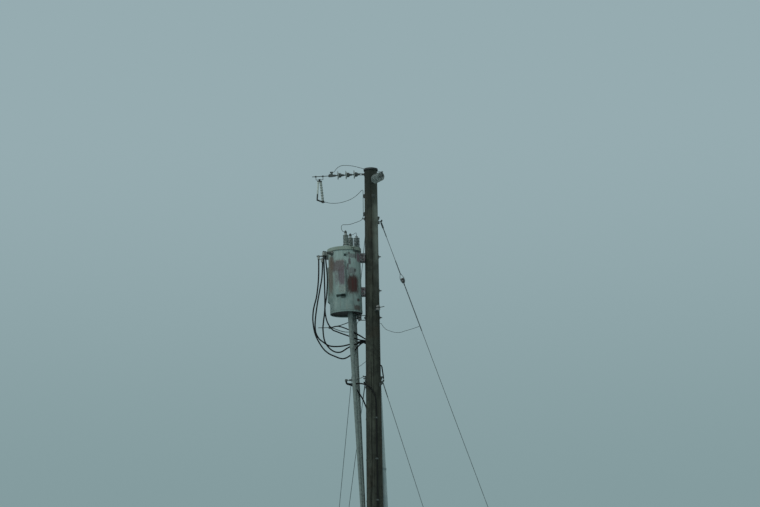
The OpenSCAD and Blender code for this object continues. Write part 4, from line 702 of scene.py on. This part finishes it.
def makePole():
    p, rng = poleShape, np.random.default_rng(poleShape["seed"])
    z = np.linspace(0, timber["height"], p["rows"])[:, None]
    a = np.linspace(0, 2 * np.pi, p["columns"], endpoint=False)[None]
    flute = sum(np.sin(k * a + phase + 0.4 * np.sin(z * w)) for k, phase, w in p["flutes"])
    crack = np.zeros_like(flute)
    for _ in range(p["checks"]):
        middle, half = rng.uniform(*p["middle"]), rng.uniform(*p["half"])
        start, waves = rng.uniform(0, 2 * np.pi), rng.uniform(*p["waves"])
        centre = start + 0.05 * (z - middle) + 0.03 * np.sin(z * waves)
        width, depth = rng.uniform(*p["width"]), rng.uniform(*p["depth"])
        gap = np.abs((a - centre + np.pi) % (2 * np.pi) - np.pi)
        along = np.clip(1 - ((z - middle) / half) ** 2, 0, 1) ** 0.5
        crack = np.maximum(crack, np.clip(1 - gap / width, 0, 1) * along * depth)
    radius = poleRadius(z) - p["flute"] * (1 + flute / 3) - crack
    side = np.stack([radius * np.cos(a), radius * np.sin(a), z + 0 * a], -1)
    closed = np.concatenate([side[:1] * [0, 0, 1], side, side[-1:] * [0, 0, 1]])
    dark = np.concatenate([crack[:1] * 0, crack, crack[:1] * 0]).ravel() / p["darkest"]
    kept, _ = alike(closed.reshape(-1, 3))
    buildPiece("poleTimber", [gridShape(closed)], "pole_wood", "pole", sharp=75, values=dark[kept])


makePole()


# pole cap: domed plastic with a thin, warped skirt; a row of its dome is a share of its radius and a height
capShape = {"inner": 0.119, "wall": 0.004, "skirt": 0.024, "warp": 0.0015, "nails": (20, 110, 200, 290),
            "nailDrop": 0.012, "dome": [(1, 0.008), (0.8, 0.016), (0.5, 0.022), (0.2, 0.025), (0, 0.026)]}


def makeCap():
    c, skirt, top = capShape, capShape["skirt"], timber["height"]
    outer = c["inner"] + c["wall"]
    hem = [(0, 0), (c["inner"], 0), (c["inner"], -skirt), (outer, -skirt)]
    dome = [(outer * s, z) for s, z in c["dome"]]
    points, triangles = placed(lathe(rounded(hem + dome, 0.004), 120), shift(z=top + seat))
    angle = np.arctan2(points[:, 1], points[:, 0])
    low = np.clip((top - points[:, 2]) / skirt, 0, 1)
    points[:, 2] += c["warp"] * low * (np.sin(3 * angle + 1) + 0.6 * np.sin(7 * angle))
    nail, proud = hexShape(0.012, 0.003, 0.4), shift(x=outer - 0.0005) @ turn("Y", 90)
    nails = [placed(nail, onPole(c["nailDrop"], bearing) @ proud) for bearing in c["nails"]]
    buildPiece("poleCapShell", [(points, triangles)] + nails, "cap_plastic", "pole_cap")


makeCap()
print("pole made")


# strings: porcelain bells turned from the CAD profile with rounded lips, clevis bolts and cotter rings

strings = {"left": {"drop": 0.086, "bearing": 185.7, "droop": 4},
           "right": {"drop": 0.232, "bearing": -73.5, "droop": 7}}
disc = {"count": 3, "pitch": 0.14, "back": 0.038, "reach": 0.09, "radius": 0.076, "crown": 0.032,
        "stem": 0.0123, "bolt": (0.022, 0.007), "boltAt": 0.0155, "cotter": (0.005, 0.0022),
        "cotterAt": -0.021}


def discProfile():
    s, c, t = disc["radius"], disc["crown"], disc["stem"]
    return rounded([(0, 0.008), (t, 0.008), (t, 0.034), (c * 0.9, 0.036), (s * 0.48, 0.042),
                    (s * 0.51, 0.054), (s * 0.57, 0.054), (s * 0.6, 0.043), (s * 0.69, 0.045),
                    (s * 0.72, 0.056), (s * 0.77, 0.056), (s * 0.8, 0.047), (s * 0.86, 0.048),
                    (s - 0.005, 0.054), (s - 0.001, 0.054), (s, 0.05), (s * 0.94, 0.045), (s * 0.78, 0.040),
                    (c + 0.01, 0.034), (c, 0.03), (c, 0.006), (c - 0.006, 0), (0, 0)], 0.0022)[::-1]


def makeStrings():
    bell = lathe(discProfile(), 112)
    bolt, cotter = hexShape(*disc["bolt"]), ringShape(*disc["cotter"], 24, 8)
    for which, facts in strings.items():
        start = onFace(facts["drop"], facts["bearing"], disc["reach"]) @ turn("Y", facts["droop"])
        links = [start @ shift(z=k * disc["pitch"]) for k in range(disc["count"] + 1)]
        bells = [placed(bell, m @ shift(z=disc["back"])) for m in links[:-1]]
        buildPiece(which + "StringBells", bells, "grey_porcelain", which + "_string_sheds")
        pins = []
        for m in links:
            pins.append(placed(bolt, m @ turn("X", 90) @ shift(z=disc["boltAt"])))
            pins.append(placed(cotter, m @ turn("X", 90) @ shift(z=disc["cotterAt"]) @ turn("X", 90)))
        buildPiece(which + "StringPins", pins, "galvanised")


makeStrings()
print("strings made")


# tank: shell with a welded seam and foot ring, domed lid with two bosses

tankShape = {"segments": 256, "skirt": 0.018, "wall": 0.008, "flange": 0.008, "flangeHeight": 0.012,
             "dent": 0.0012, "seamAt": 2.6, "seam": 0.0032, "footRing": 0.032, "lidRise": 0.045,
             "lidPlate": 0.034, "lidInset": 0.012, "bossRadius": 0.056,
             "bosses": [(0.038, -0.110), (0.114, 0.112)]}


def makeShell():  # two slow waves dent the wall between its foot and its head
    t, r, h = tankShape, tankPlace["radius"], tankPlace["height"]
    inner, wide, neck = r - t["wall"], r + t["flange"], h - t["flangeHeight"]
    foot = [(0, t["skirt"]), (inner, t["skirt"]), (inner, 0), (r, 0), (r, 0.024), (r - 0.001, 0.026),
            (r, 0.028)]
    wall = [(r, z) for z in np.linspace(0.05, neck - 0.03, 60)]
    head = [(r, neck - 0.006), (wide, neck), (wide, h), (0, h)]
    points, triangles = lathe(rounded(foot + wall + head, 0.0015, 2), t["segments"])
    angle, z = np.arctan2(points[:, 1], points[:, 0]), points[:, 2]
    far = np.hypot(points[:, 0], points[:, 1])
    body = (far > r - 0.002) & (z > 0.04) & (z < h - 0.05)
    dent = 0.5 + 0.25 * (np.sin(2 * angle + 7 * z) + np.sin(5 * angle - 11 * z + 1))
    points[:, :2] *= (1 - body * t["dent"] * dent / np.maximum(far, 0.01))[:, None]
    place = tankFrame()
    side = place @ shift(r * np.cos(t["seamAt"]), r * np.sin(t["seamAt"]))
    seam = straight(side, 0.03, h - 0.03, 0.012, t["seam"], 10)
    ring = placed(ringShape(r - 0.0005, 0.005, 200, 10), place @ shift(z=t["footRing"]))
    buildPiece("tankShell", [placed((points, triangles), place), ring, seam], "tank_paint", "tank", sharp=50)


def makeLid():  # the dome is a part of a sphere that rises from a flat rim
    t, r = tankShape, tankPlace["radius"] + tankShape["flange"]
    dome, rise, plate, b = tankPlace["radius"] - t["lidInset"], t["lidRise"], t["lidPlate"], t["bossRadius"]
    ball = (dome ** 2 + rise ** 2) / (2 * rise)
    x = np.linspace(dome, 0, 40)
    cap = np.stack([x, plate - ball + rise + np.sqrt(ball ** 2 - x ** 2)], 1)
    rim = rounded([(0, 0), (r, 0), (r, plate), (dome + 0.006, plate), (dome, plate + 0.001)], 0.002)
    place, top = tankFrame() @ shift(z=tankPlace["height"] + seat), plate + rise
    boss = lathe(rounded([(0, 0.004), (b, 0.004), (b, top), (0, top)], 0.003), 80)
    shapes = [placed(lathe(np.concatenate([rim, cap[1:]]), 200), place)]
    shapes += [placed(boss, place @ shift(x, y)) for x, y in t["bosses"]]
    buildPiece("tankLidDome", shapes, "tank_paint", "tank_lid", sharp=50)


# cooling pockets: bearing, foot, height and width; each ramps in at its foot and rounds off at its head

pockets = {"depth": 0.034, "foot": 0.034, "head": 0.016, "headCut": 0.012, "inside": 0.02, "columns": 96,
           "places": [(-105, 0.258, 0.62, 0.17), (105, 0.258, 0.62, 0.17), (180, 0.19, 0.62, 0.12)]}


def makePockets():  # in plan each is a superellipse of power 8, so nearly square
    p, r, shapes = pockets, tankPlace["radius"], []
    t = np.linspace(0, 2 * np.pi, p["columns"], endpoint=False)
    x, y = (np.sign(v) * np.abs(v) ** 0.25 for v in (np.cos(t), np.sin(t)))
    v = np.concatenate([np.linspace(0, 0.06, 14), np.linspace(0.08, 0.95, 30), np.linspace(0.96, 1, 12)])
    for bearing, low, height, width in p["places"]:
        ramp = np.clip(v * height / p["foot"], 0, 1)
        head = np.clip((1 - v) * height / p["head"], 0, 1)
        out = p["depth"] * np.minimum(ramp, 1) - p["headCut"] * (1 - np.sqrt(1 - (1 - head) ** 2))
        out = np.where(v == 0, 0.001, out)
        reach = (r + out - (r - p["inside"])) / 2
        z = (low + v * height)[:, None] + 0 * t
        out = (r - p["inside"] + reach)[:, None] + reach[:, None] * x
        loop = np.stack([out, width / 2 * y + 0 * z, z], -1)
        middle = loop.mean(axis=1, keepdims=True)
        foot, head = (np.repeat(middle[k][None], len(t), axis=1) for k in (0, -1))
        pocket = gridShape(np.concatenate([foot, loop, head]))
        shapes.append(placed(pocket, tankFrame() @ turn("Z", bearing)))
    buildPiece("coolingPocketShells", shapes, "tank_paint", "cooling_pockets", sharp=44)


makeShell()
makeLid()
makePockets()
print("tank made")


# bushings and arrester, turned: each has its height, its collar's radius and height, and its radii; the
# arrester stands at a bearing, a distance out and a height over the tank's rim

turned = {"sheds": 7, "high": {"height": 0.224, "collar": (0.040, 0.024), "core": 0.040, "shed": 0.049},
          "arrester": {"height": 0.21, "collar": (0.03, 0.012), "core": 0.044, "shed": 0.056},
          "arresterAt": (49, 0.333, 0.092), "lowBearings": (150, 180, 222), "lowDrop": 0.058,
          "lowReach": 0.099, "lowRadius": 0.031}


def lowFrame(bearing):
    up = tankPlace["height"] - turned["lowDrop"]
    return tankFrame() @ turn("Z", bearing) @ shift(tankPlace["radius"] + seat, 0, up) @ turn("Y", 90)


def lidTop(x, y):
    lid = tankShape["lidPlate"] + tankShape["lidRise"] + 2 * seat
    return tankFrame() @ shift(x, y, tankPlace["height"] + lid)


def shedProfile(which, neck, top):  # collar, sheds up to the neck's foot, and the neck's own corners
    facts = turned[which]
    radius, start = facts["collar"]
    pitch = (facts["height"] - neck - start) / turned["sheds"]
    return np.concatenate([[(0, 0), (radius, 0), (radius, start)],
                           ribProfile(facts["core"], facts["shed"], start, pitch, turned["sheds"]), top])


def makeBushings():
    h = turned["high"]["height"]
    profile = shedProfile("high", 0.03, [(0.024, h - 0.03), (0.02, h), (0, h)])
    high = lathe(rounded(profile, 0.005, 4), 80)
    shapes = [placed(high, lidTop(x, y)) for x, y in tankShape["bosses"]]
    buildPiece("highBushingSheds", shapes, "dark_porcelain", "high_bushings")
    h, (bearing, out, up) = turned["arrester"]["height"], turned["arresterAt"]
    profile = shedProfile("arrester", 0.012, [(0.028, h - 0.012), (0.028, h), (0, h)])
    place = shift(out, 0, tankPlace["height"] + up) @ shift(z=0.012 + seat)
    place = tankFrame() @ turn("Z", bearing) @ place
    shapes = [placed(lathe(rounded(profile, 0.006, 4), 80), place)]
    buildPiece("arresterSheds", shapes, "dark_porcelain", "arrester")
    r, reach = turned["lowRadius"], turned["lowReach"]
    profile = [(0, -0.006), (r + 0.008, -0.006), (r + 0.008, 0.012), (r, 0.018), (r, 0.034),
               (r - 0.008, 0.038), (r - 0.008, 0.044), (r - 0.002, 0.048), (r - 0.002, 0.062),
               (r - 0.01, reach), (0, reach)]
    low = lathe(rounded(profile, 0.003, 3), 64)
    shapes = [placed(low, lowFrame(b)) for b in turned["lowBearings"]]
    buildPiece("lowBushingPorcelain", shapes, "dark_porcelain", "low_bushings")


makeBushings()
print("bushings made")


# guys: stranded wire, wrapped grips and their bails, in the CAD source's places; a row is the hook's drop,
# bearing and arm, the anchor, the insulator's share of the length (0 without one) and which way up its plate
# is; strand and grip are a step, radius, sides, wires and lay, the sleeve a start, end, step, radius, sides

guys = {"rows": [(0.92, 7, 0.064, (3.478, 0.424, 0), 0.109, 1),
                 (3.68, 7, 0.044, (2.19, 0.274, 0), 0, 1),
                 (0.54, 108.8, 0.052, (-1.18, 3.37, 0), 0.192, 1),
                 (3.7, 150, 0.052, (-1.18, 3.37, 0), 0, -1)],
        "inside": 0.016, "stem": 0.42, "strandStart": 0.0599, "strandEnd": 0.502,
        "strand": (0.015, 0.005, 24, 6, 0.13),
        "topGrip": (0.0299, 0.25), "footGrip": (0.05, 0.62), "bailGrips": (0.25, 0.8),
        "grip": (0.006, 0.0085, 36, 9, 0.08), "sleeve": (0.022, 0.118, 0.03, 0.0145, 20), "loop": 0.022,
        "loopWire": 0.0044, "topLoop": 0.0099, "footLoop": 0.03, "bailTip": 0.1145, "bailOut": 0.0335,
        "bailTop": 0.0505, "bailFoot": -0.0178, "bailGap": 0.03}


def bailShape():  # a wire bent like a hairpin round the insulator's far hole
    g, out = guys, guys["bailOut"]
    half = [(0.004, 0, g["bailTip"] + 0.008), (out, 0, g["bailTop"]), (out, 0, g["bailFoot"])]
    corners = half + [(-x, y, z) for x, y, z in half[::-1]]
    return sweptTube(evenly(rounded(corners, 0.012, 6), 0.003), g["loopWire"], 12)


def makeGuys():
    g, strands, grips, bails = guys, [], [], []
    ring, bail = ringShape(g["loop"], 2 * g["loopWire"], 64, 14), bailShape()
    for drop, bearing, arm, anchor, share, _ in g["rows"]:
        start = onFace(drop, bearing, arm - g["inside"])[:3, 3]
        long = float(np.linalg.norm(anchor - start))
        way = (anchor - start) / long
        down, foot = aimed(start, anchor), aimed(start + way * (long - g["stem"]), start)
        hang = down @ turn("Z", np.degrees(np.arctan2(way[1], way[0])) - bearing)
        grips.append(placed(ring, hang @ shift(z=g["topLoop"]) @ turn("Y", 90)))
        grips.append(placed(ring, foot @ shift(z=g["footLoop"]) @ turn("Y", 90)))
        wraps = [(down, *g["topGrip"]), (foot, *g["footGrip"])]
        spans = [g["strandStart"], long - g["strandEnd"]]
        if share:
            middle, gap = long * share, g["bailTip"] + g["bailGap"]
            spans[1:1] = middle - gap, middle + gap
            place = start + way * middle
            up, on = aimed(place, start), aimed(place, anchor)
            wraps += [(m, g["bailTip"], size) for m, size in zip((up, on), g["bailGrips"])]
            bails += [placed(bail, up), placed(bail, on @ turn("Z", 90)), straight(down, *g["sleeve"])]
        strands += [straight(down, low, high, *g["strand"]) for low, high in zip(spans[::2], spans[1::2])]
        grips += [straight(m, low, low + size, *g["grip"]) for m, low, size in wraps]
    buildPiece("guyStrandWires", strands, "galvanised", "guy_strands", sharp=60)
    buildPiece("guyGripWires", grips, "galvanised", "guy_grips", finish="guy_strands", sharp=60)
    buildPiece("guyBails", bails, "galvanised", finish="guy_bails", sharp=60)


makeGuys()

# black strap that comes round the pole and down to the tip of the lower right hook
hookStrap = {"radius": 0.011,
             "route": [(0.112, 0.020, 6.930), (0.134, 0.020, 6.918), (0.146, 0.020, 6.890),
                       (0.151, 0.021, 6.850), (0.160, 0.021, 6.785), (0.167, 0.021, 6.730),
                       (0.168, 0.021, 6.694)]}


def makeHookStrap():
    line = evenly(smoothRoute(hookStrap["route"], 10), 0.006)
    buildPiece("hookStrap", [sweptTube(line, hookStrap["radius"], 24)], "cable_black", sharp=60)


makeHookStrap()
print("guys made")


# small hardware: hexagon heads, nuts, washers and screws, each on its own seat; a bolt is its head's width
# across flats, its head's height and its washer's width

screws = {"bracketDrops": (0.47, 0.79), "bracketPlate": 0.008, "bracketUp": (-0.025, 0.025),
          "bracketBolt": (0.016, 0.008, 0.022), "hookPlate": 0.008, "hookUp": (0.072, -0.028),
          "hookBolt": (0.028, 0.016, 0.038), "servicePlate": (3.634, 187, 0.01, 0, -0.034),
          "serviceBolt": (0.016, 0.008, 0.02), "clips": 9, "clipDrop": 4.31, "clipPitch": 0.68,
          "clipBearings": (-72, 148), "clipProud": 0.003, "clipSide": 0.021}


def bolted(place, across, high, washer=0.0):  # a hexagon head on a washer, along the frame's Z axis
    half, thick = washer / 2, washer * 0.12
    made = [placed(hexShape(across, high), place @ shift(z=thick))]
    if washer:
        corners = [(0, 0), (half, 0), (half, thick), (0, thick)]
        made.append(placed(lathe(rounded(corners, 0.0008, 2), 40), place))
    return made


def makeLags():  # plates' lag screws, forged tips of the guy hooks, and the cable clips' round-headed screws
    s, made = screws, []
    tip = [(0, -0.006), (0.0095, -0.006), (0.0095, 0.006), (0.014, 0.016), (0.014, 0.028), (0.008, 0.034),
           (0, 0.034)]
    tip = lathe(rounded(tip, 0.003, 3), 40)
    for drop in s["bracketDrops"]:
        for up in s["bracketUp"]:
            made += bolted(onFace(drop, 180, s["bracketPlate"], 0, up), *s["bracketBolt"])
    for drop, bearing, arm, _, _, way in guys["rows"]:
        made.append(placed(tip, onPole(drop, bearing) @ shift(faceRadius(drop) + arm)))
        for up in s["hookUp"]:
            made += bolted(onFace(drop, bearing, s["hookPlate"], 0, up * way), *s["hookBolt"])
    made += bolted(onFace(*s["servicePlate"]), *s["serviceBolt"])
    head = lathe([(0, 0), (0.006, 0), (0.0057, 0.0018), (0.0042, 0.0032), (0.002, 0.0039), (0, 0.004)], 24)
    for k in range(s["clips"]):
        drop = s["clipDrop"] + s["clipPitch"] * k
        for bearing in s["clipBearings"]:
            for side in (-1, 1):
                made.append(placed(head, onFace(drop, bearing, s["clipProud"], side * s["clipSide"])))
    buildPiece("lagScrewHeads", made, "galvanised")


tankBolts = {"flangeRing": 0.047, "flangeTop": 0.016, "flangeBolt": (0.011, 0.006), "stud": 0.033,
             "studNut": (0.024, 0.01), "earBearing": -58, "earReach": 0.3013, "earUp": 0.0112,
             "earHalf": 0.018, "earRod": 0.005, "earBolt": (0.017, 0.008), "padAt": 0.064, "padHalf": 0.01,
             "padSide": 0.00675, "padBolt": (0.013, 0.008), "twoCables": 222, "cableOut": 0.02,
             "jaw": (0.004, 0.058, 0.024, 0.0185), "jawDown": (0.018, 0.044), "jawBolt": (0.017, 0.011),
             "hangerDrops": (1.54, 2.13), "hangerSide": 0.066, "hangerFoot": 0.086, "hangerTop": 0.046,
             "hangerGap": 0.0093, "footBolt": 0.034, "topBolt": 0.03, "hangerBolt": (0.022, 0.011, 0.03),
             "plateHalf": 0.064, "plateThick": 0.006}


def makeTankBolts():
    b, made, jaws, plates = tankBolts, [], [], []
    for x, y in tankShape["bosses"]:
        for bearing in (45, 135, 225, 315):
            place = lidTop(x, y) @ turn("Z", bearing) @ shift(b["flangeRing"], 0, b["flangeTop"])
            made += bolted(place, *b["flangeBolt"])
        made += bolted(lidTop(x, y) @ shift(z=turned["high"]["height"] + seat + b["stud"]), *b["studNut"])
    radius, ears = b["earRod"], tankFrame() @ turn("Z", b["earBearing"])
    ears = ears @ shift(b["earReach"], 0, tankPlace["height"] + b["earUp"]) @ turn("X", 90)
    rod = [(0, -0.036), (radius, -0.036), (radius, 0.034), (0, 0.034)]
    made.append(placed(lathe(rounded(rod, 0.001, 2), 32), ears))
    for half in (0, 180):
        made += bolted(ears @ turn("X", half) @ shift(z=b["earHalf"]), *b["earBolt"])
    start, end, wide, deep = b["jaw"]
    for bearing in turned["lowBearings"]:
        pad = lowFrame(bearing) @ shift(z=turned["lowReach"] + seat + b["padAt"])
        for out in (-b["cableOut"], b["cableOut"]) if bearing == b["twoCables"] else (0.0,):
            jaws.append(placed(boxShape((start, -wide, out - deep), (end, wide, out + deep)), pad))
            for side in (-b["padSide"], b["padSide"]):
                made += bolted(pad @ shift(-b["padHalf"], side, out) @ turn("Y", -90), *b["padBolt"])
            for down in b["jawDown"]:
                made += bolted(pad @ shift(down, -wide, out) @ turn("X", 90), *b["jawBolt"])
    wall, half, thick = tankPlace["radius"] - tankPlace["off"], b["plateHalf"], b["plateThick"]
    for drop in b["hangerDrops"]:
        face = -faceRadius(drop + b["hangerFoot"]) - b["hangerGap"]
        low, high = timber["height"] - drop - b["hangerFoot"], timber["height"] - drop + b["hangerTop"]
        for side in (-1, 1):
            for z in (low + b["footBolt"], high - b["topBolt"]):
                place = shift((face + wall) / 2, side * b["hangerSide"], z) @ turn("X", -90 * side)
                made += bolted(place, *b["hangerBolt"])
        for edge in (low, high):
            plates.append(boxShape((wall - thick, -half, edge - thick), (face + 0.009, half, edge + thick)))
    buildPiece("tankBoltHeads", made, "galvanised")
    buildPiece("leadConnectorJaws", jaws, "galvanised", finish="connector", bevel=0.005)
    buildPiece("hangerGussets", plates, "tank_paint", finish="cutout_metal", bevel=0.0015)


makeLags()
makeTankBolts()
print("small hardware made")


# carried-over nodes: each takes its own finish, or else its slot's

def dressNodes():
    for row in frame["record"]["subparts"]:
        worn = frame["nodes"][row["node"]].data.materials
        worn.clear()
        worn.append(finishes.get(row["node"]) or finishes[row["material_slot"]])


dressNodes()
print("nodes dressed")


# floor, backdrop and light: rays from the camera and through glossy coats see the sky, and all others are
# lit by a paler glow; both are blended between two heights of the view's direction

light = {"sun": 1.6, "sunAngle": 45, "sunFrom": (-0.7, -0.6, 0.75), "glow": 0.95, "floorRadius": 500.0,
         "floor": (146, 166, 169), "skyLow": (131, 155, 158), "skyHigh": (150, 172, 177),
         "skyBlend": (0.07, 0.3), "glowLow": (0.62, 0.66, 0.67, 1), "glowHigh": (1.0, 1.0, 1.0, 1),
         "glowBlend": (-0.1, 0.9)}


def makeFloor():
    floor, tree, _ = newMaterial("floorFinish")
    plugged(tree, shaderOf(tree), {"Base Color": tone(*light["floor"]), "Roughness": 0.95})
    r = light["floorRadius"]
    mesh = bpy.data.meshes.new("floor")
    mesh.from_pydata([(-r, -r, 0), (r, -r, 0), (r, r, 0), (-r, r, 0)], [], [(0, 1, 2, 3)])
    mesh.materials.append(floor)
    added("floor", mesh)


def makeSky():
    world = bpy.data.worlds.new("sky")
    bpy.context.scene.world = world
    world.use_nodes = True
    tree = world.node_tree
    tree.nodes.clear()
    z = heightOf(tree, node(tree, "TexCoord", {})["Generated"])
    sky = mixed(tree, spread(tree, z, *light["skyBlend"]), light["skyLow"], light["skyHigh"])
    glow = mixed(tree, spread(tree, z, *light["glowBlend"]), light["glowLow"], light["glowHigh"])
    seen = node(tree, "Background", {0: sky, 1: 1.0})[0]
    lit = node(tree, "Background", {0: glow, 1: light["glow"]})[0]
    rays = node(tree, "LightPath", {})
    direct = reckoned(tree, "MAXIMUM", rays["Is Glossy Ray"], rays["Is Transmission Ray"])
    direct = reckoned(tree, "MAXIMUM", rays["Is Camera Ray"], direct)
    node(tree, "OutputWorld", {0: node(tree, "MixShader", {0: direct, 1: lit, 2: seen})[0]})


def makeSun():
    data = bpy.data.lights.new("sun", "SUN")
    data.energy, data.angle = light["sun"], np.radians(light["sunAngle"])
    added("sun", data).rotation_euler = Vector(light["sunFrom"]).to_track_quat("Z", "Y").to_euler()


makeFloor()
makeSky()
makeSun()
print("stage made")
